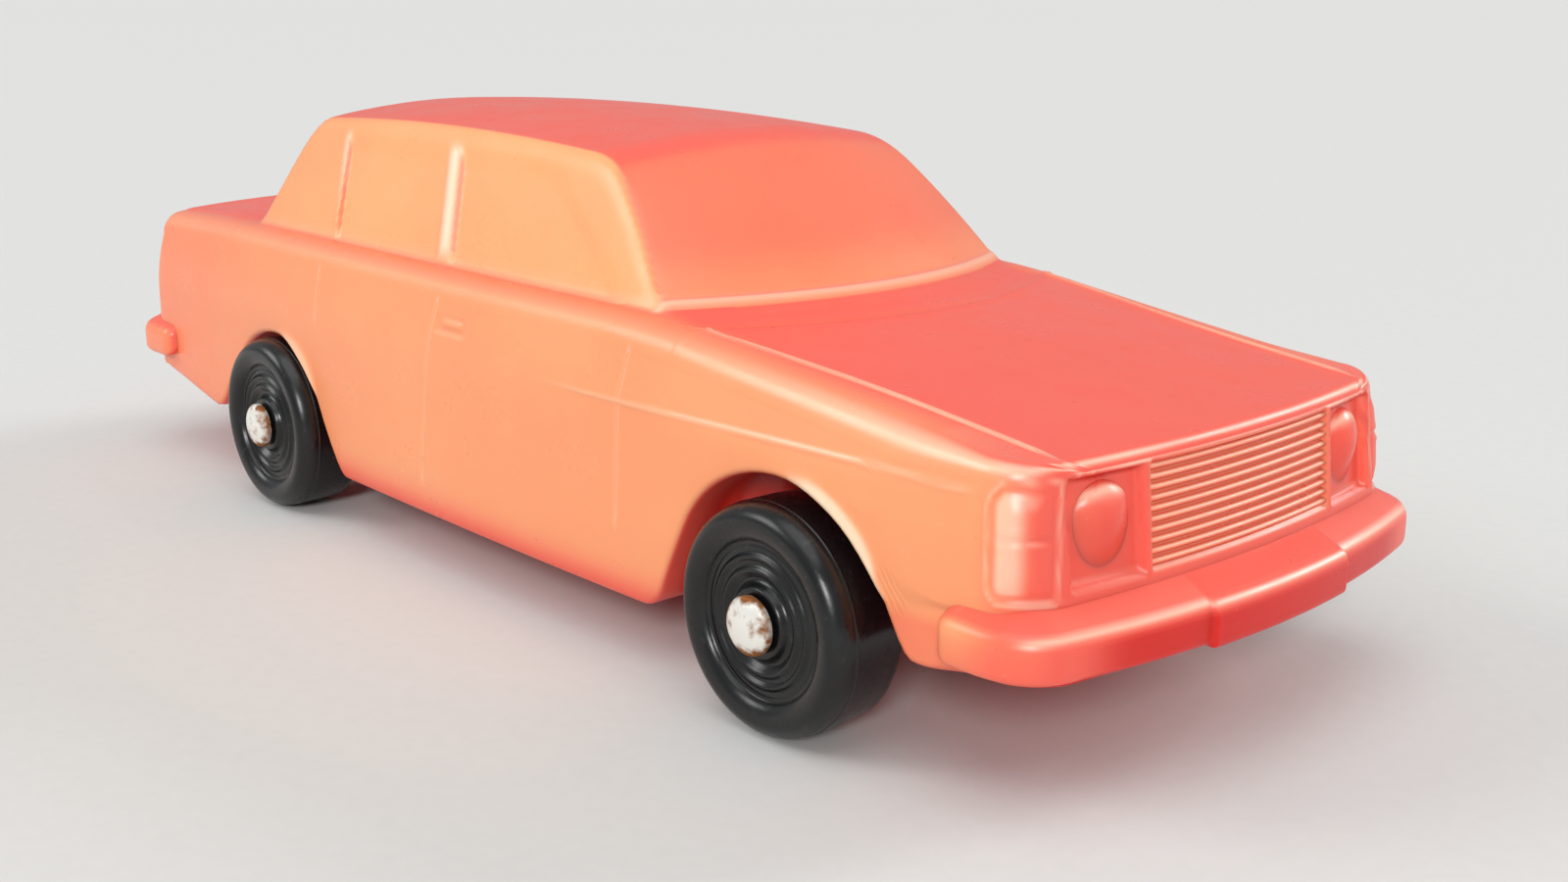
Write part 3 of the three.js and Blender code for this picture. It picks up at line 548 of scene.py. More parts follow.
    # The housing's roof, its wall, and the floor in to the middle.
    wall_y = np.minimum(HOUSING_Y, y_edge[:, -1:] - LEAST_STEP)
    floor_y = np.minimum(FLOOR_Y, wall_y - LEAST_STEP)
    floor_z = np.minimum(foot_line(side_x), edge_z)
    inwards, down = np.array([[0.25, 0.6, 1.0]]), np.array([[0.2, 0.6, 1.0]])
    to_middle = np.array([[0.5, 0.0]])
    y_ledge = y_edge[:, -1:] + (wall_y - y_edge[:, -1:]) * inwards
    y_low = np.concatenate([y_ledge, wall_y + (floor_y - wall_y) * down, floor_y * to_middle], 1)
    z_low = np.concatenate([edge_z + 0 * inwards, edge_z + (floor_z - edge_z) * down,
                            floor_z + 0 * to_middle], 1)
    x_low = side_x + foot_shear + side_shift(y_low, z_low)

    x = np.concatenate([x_top, x_over, x_side, x_edge, x_low], 1)
    y = np.concatenate([y_top, y_over, y_side, y_edge, y_low], 1)
    z = np.concatenate([z_top, z_over, z_side, z_edge, z_low], 1)
    rim_end = x_top.shape[1] + x_over.shape[1] + x_side.shape[1] + x_edge.shape[1]
    return np.stack([x, y, z], -1), x_top.shape[1], rim_end


def end_patch(ring, top_count, rim_end, face, relief, outward):
    """The face that closes an end: the ring's top carried down the ring's side, with its middle at y = 0,
    laid on the end's face and its relief. Its border is the ring itself."""
    top, rim = ring[:top_count], ring[top_count - 1:rim_end]
    y = top[None, :, 1] / top[-1, 1] * rim[:, None, 1]
    fade = np.linspace(1, 0, len(rim))[:, None] ** 2
    z = rim[:, None, 2] + (top[None, :, 2] - top[-1, 2]) * fade
    x = face(y, z) + outward * relief(y, z)
    x[0], x[:, -1] = top[:, 0], rim[:, 0]
    return np.stack([x, y, z], -1), outward < 0


half_grid, top_count, rim_end = body_half()
shell = [(half_grid, False), end_patch(half_grid[-1], top_count, rim_end, nose_face, nose_relief, 1),
         end_patch(half_grid[0], top_count, rim_end, tail_face, tail_relief, -1)]
shell += [(grid * (1, -1, 1), not flip) for grid, flip in shell]

# The bumpers: thick bars moulded on the body, each with a sloping shelf above and a blank plate. Like
# the headlamps and the grille's slats they are of one moulding with the body, so they join its mesh.
PLATE_OUT, PLATE_DOWN, PLATE_HALF, PLATE_RAMP = 0.58, 0.3, 11.4, 0.25
PLATE_FACE, PLATE_FOOT = (-1.5, -0.4), (14.6, 16.0)
BUMPER_FACE, BUMPER_SIDE, BUMPER_Z = SHELL_HIGH[0] - 0.65, SHELL_HIGH[1] - 1.0, 17.2
BUMPER_BOW, FLANK_X, CORNER_X, CORNER_IN, END_ROUND = 0.0041, 89.0, 95.0, 0.4, 2.2
# The profile's corners as (outwards, height), and how far from each inner one its rounding begins.
BUMPER_PROFILE = (-6.0, 15.2), (0.0, 14.2), (0.0, 18.5), (-6.2, 21.5), (-7.2, 20.4)
BUMPER_ROUND = 1.0, 1.3, 1.0
# Each bumper by the way it faces, its ends' x, and how much higher than the front one it sits.
BUMPERS = (1, 83.4, 0.0), (-1, 82.0, 1.3)


def rounded(corners, reach, steps=6):
    """A line through corners, each inner one cut off by a curve that begins and ends a reach from it."""
    corners = np.array(corners, float)
    before, after = corners[:-2] - corners[1:-1], corners[2:] - corners[1:-1]
    before = before / np.linalg.norm(before, axis=1, keepdims=True) * np.reshape(reach, (-1, 1))
    after = after / np.linalg.norm(after, axis=1, keepdims=True) * np.reshape(reach, (-1, 1))
    t = np.linspace(0, 1, steps)[None, :, None]
    curves = corners[1:-1, None] + (1 - t) ** 2 * before[:, None] + t ** 2 * after[:, None]
    return np.concatenate([corners[:1], curves.reshape(-1, 2), corners[-1:]])


def bumper(facing, wrap_x, lift):
    """A bumper's grid: a closed profile swept from one side round the bowed front to the other.
    The ends are rounded off by shrinking the profile, and the plate is a step out and down."""
    section = rounded(BUMPER_PROFILE, BUMPER_ROUND)
    section = np.concatenate([section, section[:1]])
    across = spread((0, 10.6, 1.4), (10.7, 12.1, 0.16), (12.4, 28.4, 1.2))
    front = np.stack([BUMPER_FACE - BUMPER_BOW * across ** 2, across], -1)
    t = np.linspace(0, 1, 16)[1:, None]
    corner, flank = np.array([CORNER_X, BUMPER_SIDE - CORNER_IN]), np.array([FLANK_X, BUMPER_SIDE])
    bend = front[-1] * (1 - t) ** 2 + corner * 2 * t * (1 - t) + flank * t ** 2
    back = np.concatenate([np.linspace(FLANK_X - 0.8, wrap_x + END_ROUND + 0.2, 6),
                           wrap_x + END_ROUND * np.cos(np.linspace(0.4, np.pi / 2, 8))])
    half = np.concatenate([front, bend, np.stack([back, np.full(len(back), BUMPER_SIDE)], -1)])
    path = np.concatenate([half[::-1] * (1, -1), half[1:]])
    along = np.gradient(path, axis=0)
    outward = np.stack([along[:, 1], -along[:, 0]], -1) / np.linalg.norm(along, axis=1, keepdims=True)
    short = np.clip((wrap_x + END_ROUND - path[:, :1]) / END_ROUND, 0, 1)
    small = np.sqrt(np.clip(1 - short ** 2, 0.004, None))
    plate = 1 - ease(PLATE_HALF - PLATE_RAMP, PLATE_HALF + PLATE_RAMP, np.abs(path[:, 1:]))
    out, height = section.T
    plate_out = PLATE_OUT * ease(*PLATE_FACE, out)
    plate_down = PLATE_DOWN * (1 - ease(*PLATE_FOOT, height))
    out = -END_ROUND + (out + END_ROUND) * small + plate_out * plate
    height = BUMPER_Z + (height - BUMPER_Z) * (0.25 + 0.75 * small) - plate_down * plate + lift
    x, y = (path[:, None] + outward[:, None] * out[..., None]).transpose(2, 0, 1)
    return np.stack([facing * x, y, height], -1), facing < 0


HEADLAMP_Y, HEADLAMP_Z, HEADLAMP_R, HEADLAMP_HEIGHT, HEADLAMP_SINK = 20.4, 27.7, 3.0, 1.7, 0.05
HEADLAMP_WIDER, HEADLAMP_LONGER = 0.3, 0.75


def headlamp(side):
    """A headlamp's grid: a dome on its box's floor, whose lower half is wider and longer and runs out
    softly into the box."""
    turn = np.linspace(0, 2 * np.pi, 41)
    away = np.sin(np.linspace(0, np.pi / 2, 12))[:, None]
    low = ease(-1, 1, -np.sin(turn))
    y = HEADLAMP_Y + HEADLAMP_R * away * np.cos(turn) * (1 + HEADLAMP_WIDER * low)
    z = HEADLAMP_Z + HEADLAMP_R * away * np.sin(turn) * (1 + HEADLAMP_LONGER * low)
    height = HEADLAMP_HEIGHT * (1 - away ** 2) ** (0.5 + low)
    return np.stack([nose_face(y, z) - LAMP_BOX_DEPTH - HEADLAMP_SINK + height, side * y, z], -1), side > 0


SLATS, SLAT_FIRST_Z, SLAT_PITCH, SLAT_HALF = 10, 22.05, 1.0, 15.2
SLAT_BACK, SLAT_DEEP, SLAT_HIGH = 0.66, 0.62, 0.36


def slat(height):
    """A grille slat's grid: a small ellipse carried across the bowed nose."""
    across = np.linspace(-SLAT_HALF, SLAT_HALF, 25)[:, None]
    turn = np.linspace(0, 2 * np.pi, 11)
    x = nose_face(across, height) - SLAT_BACK + SLAT_DEEP * np.cos(turn)
    return np.stack([x, across + 0 * x, height + SLAT_HIGH * np.sin(turn) + 0 * x], -1), True


# Points closer together than the weld become one, and edges shorter than a sliver are dissolved.
WELD, SLIVER = 0.004, 0.002


def mesh_from_grids(name, grids, weld=True):
    """One object from grids of points in millimetres, each (points, flip), with shared edges welded."""
    points, faces, start = [], [], 0
    for grid, flip in grids:
        at = start + np.arange(grid[..., 0].size).reshape(grid.shape[:2])
        quads = np.stack([at[:-1, :-1], at[:-1, 1:], at[1:, 1:], at[1:, :-1]], -1).reshape(-1, 4)
        points.append(grid.reshape(-1, 3))
        faces.append(quads[:, ::-1] if flip else quads)
        start += at.size
    mesh = bpy.data.meshes.new(name)
    mesh.from_pydata(np.concatenate(points) * MM, [], np.concatenate(faces))
    if weld:
        work = bmesh.new()
        work.from_mesh(mesh)
        bmesh.ops.remove_doubles(work, verts=work.verts, dist=WELD * MM)
        bmesh.ops.dissolve_degenerate(work, edges=work.edges, dist=SLIVER * MM)
        bmesh.ops.holes_fill(work, edges=[e for e in work.edges if e.is_boundary], sides=0)
        bmesh.ops.recalc_face_normals(work, faces=work.faces)
        work.to_mesh(mesh)
        work.free()
    mesh.shade_smooth()
    piece = bpy.data.objects.new(name, mesh)
    bpy.context.scene.collection.objects.link(piece)
    return piece


moulded_on = [bumper(*each) for each in BUMPERS]
moulded_on += [headlamp(side) for side in (-1, 1)]
moulded_on += [slat(height) for height in SLAT_FIRST_Z + SLAT_PITCH * np.arange(SLATS)]
body = mesh_from_grids("car_body", shell + moulded_on)
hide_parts("body_shell")
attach(body, "car_body")


def linear(hex_colour):
    """Linear red, green, blue and alpha of an sRGB hex colour."""
    srgb = np.array([int(hex_colour[at:at + 2], 16) for at in (1, 3, 5)]) / 255
    return (*np.where(srgb <= 0.04045, srgb / 12.92, ((srgb + 0.055) / 1.055) ** 2.4).tolist(), 1.0)


def add_node(tree, kind, inputs, **settings):
    """Adds a shader node with its settings, links each input that is a socket, sets each other one to its
    value, and gives the node's outputs."""
    node = tree.nodes.new("ShaderNode" + kind)
    for name, value in settings.items():
        setattr(node, name, value)
    for key, value in inputs.items():
        if isinstance(value, bpy.types.NodeSocket):
            tree.links.new(value, node.inputs[key])
        else:
            node.inputs[key].default_value = value
    return node.outputs


def new_material(name):
    """An empty material, its node tree and its Object coordinates."""
    material = bpy.data.materials.new(name)
    material.use_nodes = True
    material.node_tree.nodes.clear()
    return material, material.node_tree, add_node(material.node_tree, "TexCoord", {})["Object"]


def paint(piece, name, values):
    """Stores one number for each vertex of a piece, for its material to read."""
    layer = piece.data.attributes.new(name, "FLOAT", "POINT")
    layer.data.foreach_set("value", np.ascontiguousarray(values, np.float32))


def vertices(piece):
    """The places, in millimetres, and normals of a piece's vertices."""
    place, normal = np.empty((2, len(piece.data.vertices) * 3), np.float32)
    piece.data.vertices.foreach_get("co", place)
    piece.data.vertices.foreach_get("normal", normal)
    return place.reshape(-1, 3) / MM, normal.reshape(-1, 3)


# Painted light: the sides are painted orange for the light that falls on them and shines through the thin
# vinyl, the pillars most and the screen a little, with painted highlights on the shoulder and the grille,
# while the top stays coral red. The painted light fades to the tail, the nose and the skirt.
CABIN_START_Z, NOSE_START_X = 41, 88
SIDE_START_Y, SIDE_START_Z, BELT_RUN = (19, 22), (6, 13), (38, 41)
TAIL_FADE, TAIL_FADE_RUN, NOSE_FADE, NOSE_FADE_RUN = 0.4, (-25, -88), 0.8, (86, 92)
SKIRT_FADE, SKIRT_FADE_RUN, SKIRT_FADE_Z = 0.5, (75, 77), (18, 16)
PILLAR_GLOW_WIDTH, BACK_PILLAR_GLOW_WIDTH, BACK_PILLAR_RUN = 4.2, 2.6, (42, 51)
PILLAR_GLOW_FOOT, PILLAR_GLOW_TOP = (40.0, 41.5), (52.4, 54.4)
SCREEN_START_Z, SCREEN_FOOT_RUN, SCREEN_END_X = 39.5, (41, 46), 60
SHOULDER_RUN, SHOULDER_START_Z, SHOULDER_END = (-8.0, -2.5), (33, 35), (84, 92)
GLOWING_GRILLE, GRILLE_START_X = ((-1, 15.3), (21.4, 31.8)), 90
place, normal = vertices(body)
x, y, z = place[:, 0], np.abs(place[:, 1]), place[:, 2]
ahead, out, rise = normal[:, 0], np.abs(normal[:, 1]), normal[:, 2]
cabin = z > CABIN_START_Z
sideways = np.where(cabin, ease(0.15, 0.5, out), ease(0.35, 0.85, out))
painted_glow = sideways * ease(*SIDE_START_Y, y) * ease(*SIDE_START_Z, z)
painted_glow = painted_glow * (0.75 + 0.25 * ease(*BELT_RUN, z)) * (1 - 0.75 * ease(0.2, 0.5, ahead) * cabin)
painted_glow = painted_glow * (1 - TAIL_FADE * ease(*TAIL_FADE_RUN, x)) * (1 - NOSE_FADE * ease(*NOSE_FADE_RUN, x))
painted_glow = painted_glow * (1 - SKIRT_FADE * ease(*SKIRT_FADE_RUN, x) * ease(*SKIRT_FADE_Z, z))
past_pillar, past_back = past_pillars(x, z)
back_pillar = ridge(past_back + BACK_PILLAR_SET, BACK_PILLAR_GLOW_WIDTH) * ease(*BACK_PILLAR_RUN, z)
pillar = ridge(past_pillar, PILLAR_GLOW_WIDTH) + 0.5 * back_pillar
pillar = pillar * ease(*PILLAR_GLOW_FOOT, z) * (1 - ease(*PILLAR_GLOW_TOP, z)) * (y > SIDE_START_Y[0])
screen = (0.25 + 0.25 * (1 - ease(*SCREEN_FOOT_RUN, z))) * ease(0.3, 0.5, ahead)
screen = screen * (z > SCREEN_START_Z) * (x < SCREEN_END_X)
shoulder = 0.5 * ease(*SHOULDER_RUN, y - side_half(x)) * ease(0.0, 0.5, rise) * ease(*SHOULDER_START_Z, z)
shoulder = shoulder * (1 - 0.6 * ease(*SHOULDER_END, x))
grille = 0.3 * (x > GRILLE_START_X) * inside_box(y, z, *GLOWING_GRILLE, NOSE_RAMP)
paint(body, "painted_glow", np.maximum.reduce([painted_glow, pillar, screen, shoulder, grille]))

# Painted shade: deep red is painted where shade falls, in the housings, on the underside, at the sill's foot,
# on the bumpers' lower faces and on the lower halves of the headlamps' boxes.
HOUSING_RUN, HOUSING_MOUTH_Y, HOUSING_OVER_EDGE, UNDER_Y = (28.0, 31.0), 33.0, 0.3, 28
SILL_TOP, SILL_END, BAR_START_X, BAR_RUN = 10.5, 82, (96, 97.5), (17.2, 18.4)
SHADED_LAMP, SHADED_LAMP_RAMP = ((16.4, 25.4), (20.8, 28.0)), 2.5
in_housing = (y < HOUSING_MOUTH_Y) * (z < low_edge(x) + HOUSING_OVER_EDGE)
housing = in_housing * (0.95 - 0.75 * ease(*HOUSING_RUN, y))
under = ease(0.2, 0.7, -rise) * (y < UNDER_Y)
sill = 0.4 * (1 - ease(SILL_Z, SILL_TOP, z)) * (np.abs(x) < SILL_END)
bar = ease(*BAR_START_X, np.abs(x)) * (1 - ease(*BAR_RUN, z))
lamp = 0.2 * (x > NOSE_START_X) * inside_box(y, z, *SHADED_LAMP, SHADED_LAMP_RAMP)
paint(body, "painted_shade", np.clip(np.maximum.reduce([housing, under, sill, bar, lamp]), 0, 1))

# Painted highlights: its standing edges are painted pale where they catch the light, those that face up and
# forward on the nose or up and sideways on the shoulder, the raised lines of the bonnet and screen, the
# pillars, the arch lips, and the corner lamps, whose lenses also get a painted reflection.
EDGE_ANGLE, NOSE_EDGE_SPAN, SIDE_EDGE_SPAN = 42, 42, 55
NOSE_LEDGE, BONNET_LIP_Y, BONNET_LIP_Z = ((-1, 26), (19.4, 21.6)), (10, 18), 31.8
SHOULDER_EDGE_Z, SHOULDER_EDGE_RUN = (28, 30), (35, 85)
HIGHLIGHT_CREASE_WIDTH, HIGHLIGHT_CREASE_END, HIGHLIGHT_BEAD_WIDTH, HIGHLIGHT_BEAD_Z, HIGHLIGHT_BEAD_Y = 0.9, 89, 1.6, 37, 28
HIGHLIGHT_SIDE_WIDTH, HIGHLIGHT_DOOR_WIDTH, HIGHLIGHT_LIP_Y, HIGHLIGHT_LIP_Z = 0.8, 0.9, 31, (16, 19)
LENS_TOP_Z, LENS_Y, LENS_X, HIGHLIGHT_LENS_EDGE, HIGHLIGHT_LENS_S, WORN_RIM_WIDTH = 33, 25, 80, 1.6, (59.8, 62.4), 0.6


def edge_facing(level, rise, span):
    """1 where a surface faces up from a level direction by the edge angle, fading over a span in degrees,
    and 0 where it faces neither way. level and rise are its normal's parts along the two."""
    away = np.degrees(np.arctan2(rise, level)) - EDGE_ANGLE
    return ridge(away, span) * ease(0.5, 0.8, np.hypot(level, rise))


ledge = inside_box(y, z, *NOSE_LEDGE, NOSE_RAMP)
lip_middle = (1 - ease(*BONNET_LIP_Y, y)) * (z > BONNET_LIP_Z)
front_edge_highlight = edge_facing(ahead, rise, NOSE_EDGE_SPAN) * (x > NOSE_START_X)
front_edge_highlight = front_edge_highlight * (0.6 - 0.45 * ledge - 0.25 * lip_middle)
side_edge_highlight = edge_facing(out, rise, SIDE_EDGE_SPAN) * (z < CABIN_START_Z) * ease(*SHOULDER_EDGE_Z, z)
side_edge_highlight = side_edge_highlight * (0.12 + 0.5 * ease(*SHOULDER_EDGE_RUN, x))
upright, flat = ease(0.7, 0.9, out), ease(0.6, 0.8, rise)
lines = 0.4 * bonnet_crease(x, y, HIGHLIGHT_CREASE_WIDTH) * (1 - ease(HIGHLIGHT_CREASE_END, BONNET_END, x)) * flat
lines = lines + 0.45 * screen_bead(x, y, HIGHLIGHT_BEAD_WIDTH) * (z > HIGHLIGHT_BEAD_Z) * (y < HIGHLIGHT_BEAD_Y)
lines = lines + 0.2 * side_crease(x, z, HIGHLIGHT_SIDE_WIDTH) * upright
lines = lines + 0.32 * door_lines(x, z, HIGHLIGHT_DOOR_WIDTH) * upright
lip = (0.4 + 0.35 * (x > MIDDLE_X)) * ease(0.05, 0.4, arch_lip(x, z))
lip = lip * (y > HIGHLIGHT_LIP_Y) * ease(*HIGHLIGHT_LIP_Z, z)
inset = corner_lamp_inset(x - y, z) * (z < LENS_TOP_Z)
lens = 0.55 * ease(LENS_EDGE, HIGHLIGHT_LENS_EDGE, inset) * (1 - ease(*HIGHLIGHT_LENS_S, x - y))
lens = (lens + 0.3 * ridge(inset - RIM_INSET, WORN_RIM_WIDTH)) * (y > LENS_Y) * (x > LENS_X)
painted_highlight = np.maximum.reduce([front_edge_highlight, side_edge_highlight, 0.95 * pillar, lines, lip, lens])
paint(body, "painted_highlight", np.clip(painted_highlight, 0, 1))

# The vinyl itself: half glossy, blotched, specked with dust, unevenly worn and faintly pebbled, and more
# translucent where shade is painted deep red. Dust and pebbling are drawn coarser than they are, so that they
# show.
CORAL, ORANGE, DEEP_RED = "#F86453", "#FFB278", "#D81A0E"
BLOTCH_RED, DUST, HIGHLIGHT_PEACH = "#EA4A38", "#FFD2C0", "#FFE6C8"
BLOTCH_SIZE, DUST_SIZE, WEAR_SIZE, PEBBLE_SIZE, PEBBLE_HEIGHT, BLEED = 22, 0.9, 6, 1.6, 0.12, 1.6
vinyl, tree, place = new_material("soft_vinyl")
painted_glow = add_node(tree, "Attribute", {}, attribute_name="painted_glow")["Fac"]
painted_shade = add_node(tree, "Attribute", {}, attribute_name="painted_shade")["Fac"]
painted_highlight = add_node(tree, "Attribute", {}, attribute_name="painted_highlight")["Fac"]
blotch = add_node(tree, "TexNoise", {"Vector": place, "Scale": 1 / (BLOTCH_SIZE * MM), "Detail": 3.0})[0]
blotch = add_node(tree, "MapRange", {"Value": blotch, 1: 0.35, 2: 0.7, 3: 0.0, 4: 0.10})[0]
speck = add_node(tree, "TexNoise", {"Vector": place, "Scale": 1 / (DUST_SIZE * MM), "Detail": 3.0})[0]
speck = add_node(tree, "MapRange", {"Value": speck, 1: 0.70, 2: 0.78, 3: 0.0, 4: 0.09})[0]
wear = add_node(tree, "TexNoise", {"Vector": place, "Scale": 1 / (WEAR_SIZE * MM), "Detail": 4.0})[0]
wear = add_node(tree, "MapRange", {"Value": wear, 1: 0.3, 2: 0.7, 3: 0.26, 4: 0.38})[0]
peel = add_node(tree, "TexNoise", {"Vector": place, "Scale": 1 / (PEBBLE_SIZE * MM)})[0]
peel = add_node(tree, "Bump", {"Height": peel, "Strength": 0.12, "Distance": PEBBLE_HEIGHT * MM})[0]
# Painted light and shade: coral mixed towards orange where glow is painted, deep red where shade is painted
# and pale peach where highlights are painted; the blotches and dust are the vinyl's own.
colour = add_node(tree, "Mix", {0: painted_glow, 6: linear(CORAL), 7: linear(ORANGE)}, data_type="RGBA")[2]
colour = add_node(tree, "Mix", {0: painted_shade, 6: colour, 7: linear(DEEP_RED)}, data_type="RGBA")[2]
colour = add_node(tree, "Mix", {0: blotch, 6: colour, 7: linear(BLOTCH_RED)}, data_type="RGBA")[2]
colour = add_node(tree, "Mix", {0: speck, 6: colour, 7: linear(DUST)}, data_type="RGBA")[2]
colour = add_node(tree, "Mix", {0: painted_highlight, 6: colour, 7: linear(HIGHLIGHT_PEACH)}, data_type="RGBA")[2]
soft = add_node(tree, "MapRange", {"Value": painted_shade, 3: 0.25, 4: 0.9})[0]
skin = add_node(tree, "BsdfPrincipled", {
    "Base Color": colour, "Roughness": wear, "Normal": peel, "Specular IOR Level": 0.45,
    "Subsurface Weight": soft, "Subsurface Radius": (1.0, 0.42, 0.25), "Subsurface Scale": BLEED * MM})[0]
add_node(tree, "OutputMaterial", {"Surface": skin})
body.data.materials.append(vinyl)

# The wheels: one-piece black plastic turned loose on the axle, with a rolled sidewall, a stepped
# disc and a small boss. Each is moulded in two halves, so a thin parting line runs round the tread.
WHEEL_LOW, WHEEL_HIGH = box_mm("front_left_wheel")
WHEEL_R, WHEEL_FACE, WHEEL_WIDTH = AXLE_Z, WHEEL_HIGH[1], WHEEL_HIGH[1] - WHEEL_LOW[1]
BORE_R, BORE_END, DISC_R, DISC_DEPTH, BOSS_EDGE, BOSS_HEIGHT = 1.75, 5.0, 8.3, 1.15, (3.55, 4.15), 0.75
# The disc's grooves and rings by radius, width and how far they stand up.
DISC_RINGS = (4.45, 0.9, -0.22), (5.4, 1.3, 0.48), (6.72, 1.1, 0.42), (8.0, 0.7, -0.1)
CREST_R, ROLL_IN, ROLL_OUT = WHEEL_R - 1.85, (2.1, 1.25), (1.72, 2.3)
TREAD_DROP, TREAD_CROWN, TREAD_MIDDLE = 0.08, 0.012, 4.6
PARTING_DEPTH, PARTING_WIDTH, PARTING_HEIGHT = 2.72, 0.36, 0.08
HEEL_R, HEEL_DROP, BACK_ROUNDING = 1.2, 0.2, 0.45
RIM_R, RIM_IN_R, RIM_FOOT_R, WEB_DEPTH, HUB_R = 10.9, 9.8, 9.6, 4.6, 4.7
WHEEL_SIDES = 128


def hub_depth(radius):
    """Depth of the disc below the wheel's face: a level, a raised boss, two rings and grooves between."""
    boss = BOSS_HEIGHT * (1 - ease(*BOSS_EDGE, radius))
    rings = sum(height * ridge(radius - place, width) for place, width, height in DISC_RINGS)
    return DISC_DEPTH - boss - rings


def wheel_section():
    """A wheel's closed half section as (radius, depth in from its face): the disc, the rolled sidewall as
    two quarter ellipses, the crowned tread with its parting line, the round heel and the hollow back."""
    radius = np.linspace(BORE_R, DISC_R, 66)
    disc = np.stack([radius, hub_depth(radius)], 1)
    turn = np.linspace(0.25, np.pi / 2, 12)
    roll_in = np.stack([CREST_R - ROLL_IN[0] * np.cos(turn), ROLL_IN[1] * (1 - np.sin(turn))], 1)
    turn = np.linspace(0, np.pi / 2, 12)[1:]
    roll_out = np.stack([CREST_R + ROLL_OUT[0] * np.sin(turn), ROLL_OUT[1] * (1 - np.cos(turn))], 1)
    depth = thinned(spread((2.45, 2.99, 0.06), (3.4, 7.9, 0.9)), 0.01)
    parting = PARTING_HEIGHT * ridge(depth - PARTING_DEPTH, PARTING_WIDTH)
    tread = WHEEL_R - TREAD_DROP - TREAD_CROWN * (depth - TREAD_MIDDLE) ** 2 + parting
    turn = np.linspace(0, np.pi / 2, 7)
    heel = np.stack([WHEEL_R - HEEL_DROP - HEEL_R * (1 - np.cos(turn)),
                     WHEEL_WIDTH - HEEL_R * (1 - np.sin(turn))], 1)
    back = [(RIM_R, WHEEL_WIDTH), (RIM_IN_R, WHEEL_WIDTH), (RIM_FOOT_R, WEB_DEPTH), (HUB_R, WEB_DEPTH),
            (HUB_R, WHEEL_WIDTH), (BORE_R, WHEEL_WIDTH), (BORE_R, BORE_END)]
    back = rounded(back, np.full(len(back) - 2, BACK_ROUNDING))
    return np.concatenate([disc, roll_in, roll_out, np.stack([tread, depth], 1), heel, back, disc[:1]])


def lathed(section, side, axle_x, face, sides):
    """A section of (radius, depth) pairs turned about an axle, its depth counted in from the face."""
    turn = np.linspace(0, 2 * np.pi, sides + 1)
    radius, depth = section[:, :1], section[:, 1:]
    x = axle_x + radius * np.cos(turn)
    return np.stack([x, side * (face - depth) + 0 * x, AXLE_Z + radius * np.sin(turn)], -1), side > 0


# Satin black moulded plastic: a soft sheen, greyer where it is scuffed, and faintly grained. The grain is
# drawn coarser than it is, so that it shows.
BLACK, SCUFFED, SCUFF_SIZE, SHEEN_SIZE, GRAIN_SIZE, GRAIN_HEIGHT = "#0D0E0F", "#3C3E3C", 1.1, 3, 0.7, 0.08
black, tree, place = new_material("black_plastic")
scuff = add_node(tree, "TexNoise", {"Vector": place, "Scale": 1 / (SCUFF_SIZE * MM), "Detail": 4.0})[0]
scuff = add_node(tree, "MapRange", {"Value": scuff, 1: 0.62, 2: 0.74, 3: 0.0, 4: 0.35})[0]
sheen = add_node(tree, "TexNoise", {"Vector": place, "Scale": 1 / (SHEEN_SIZE * MM), "Detail": 4.0})[0]
sheen = add_node(tree, "MapRange", {"Value": sheen, 1: 0.3, 2: 0.7, 3: 0.22, 4: 0.34})[0]
grain = add_node(tree, "TexNoise", {"Vector": place, "Scale": 1 / (GRAIN_SIZE * MM), "Detail": 3.0})[0]
grain = add_node(tree, "Bump", {"Height": grain, "Strength": 0.15, "Distance": GRAIN_HEIGHT * MM})[0]
colour = add_node(tree, "Mix", {0: scuff, 6: linear(BLACK), 7: linear(SCUFFED)}, data_type="RGBA")[2]
skin = add_node(tree, "BsdfPrincipled", {"Base Color": colour, "Roughness": sheen, "Normal": grain})[0]
add_node(tree, "OutputMaterial", {"Surface": skin})

CORNERS = [(end, axle_x, hand, side) for end, axle_x in (("front", FRONT_AXLE_X), ("rear", REAR_AXLE_X))
           for hand, side in (("right", -1), ("left", 1))]
for end, axle_x, hand, side in CORNERS:
    turned = lathed(wheel_section(), side, axle_x, WHEEL_FACE, WHEEL_SIDES)
    wheel = mesh_from_grids(f"{end}_{hand}_tyre", [turned])
    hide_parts(f"{end}_{hand}_wheel")
    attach(wheel, f"{end}_{hand}_wheel_body")
    wheel.data.materials.append(black)

# The caps: domed steel pressings pushed on the axle's ends, plated bright. The plating has worn
# through, so brown rust creeps in from the rim and shows in a few spots on the dome.
CAP_LOW, CAP_HIGH = box_mm("front_left_cap")
CAP_R, CAP_TOP, CAP_HEIGHT = (CAP_HIGH[2] - CAP_LOW[2]) / 2, CAP_HIGH[1], CAP_HIGH[1] - CAP_LOW[1]
DOME_HEIGHT, RIM_START, CAP_ROUND, CAP_SIDES = 1.15, 1.2, 0.2, 72
RUST_START_R, RIM_RUST = 2.1, 0.20


def cap_section():
    """A cap's half section as (radius, depth in from its top): a quarter ellipse, a short upright rim
    and a flat underside."""
    turn = np.linspace(0, np.pi / 2, 16)
    dome = np.stack([CAP_R * np.sin(turn), DOME_HEIGHT * (1 - np.cos(turn))], 1)
    under = rounded([(CAP_R, RIM_START), (CAP_R, CAP_HEIGHT), (0.0, CAP_HEIGHT)], CAP_ROUND)
    return np.concatenate([dome, under])


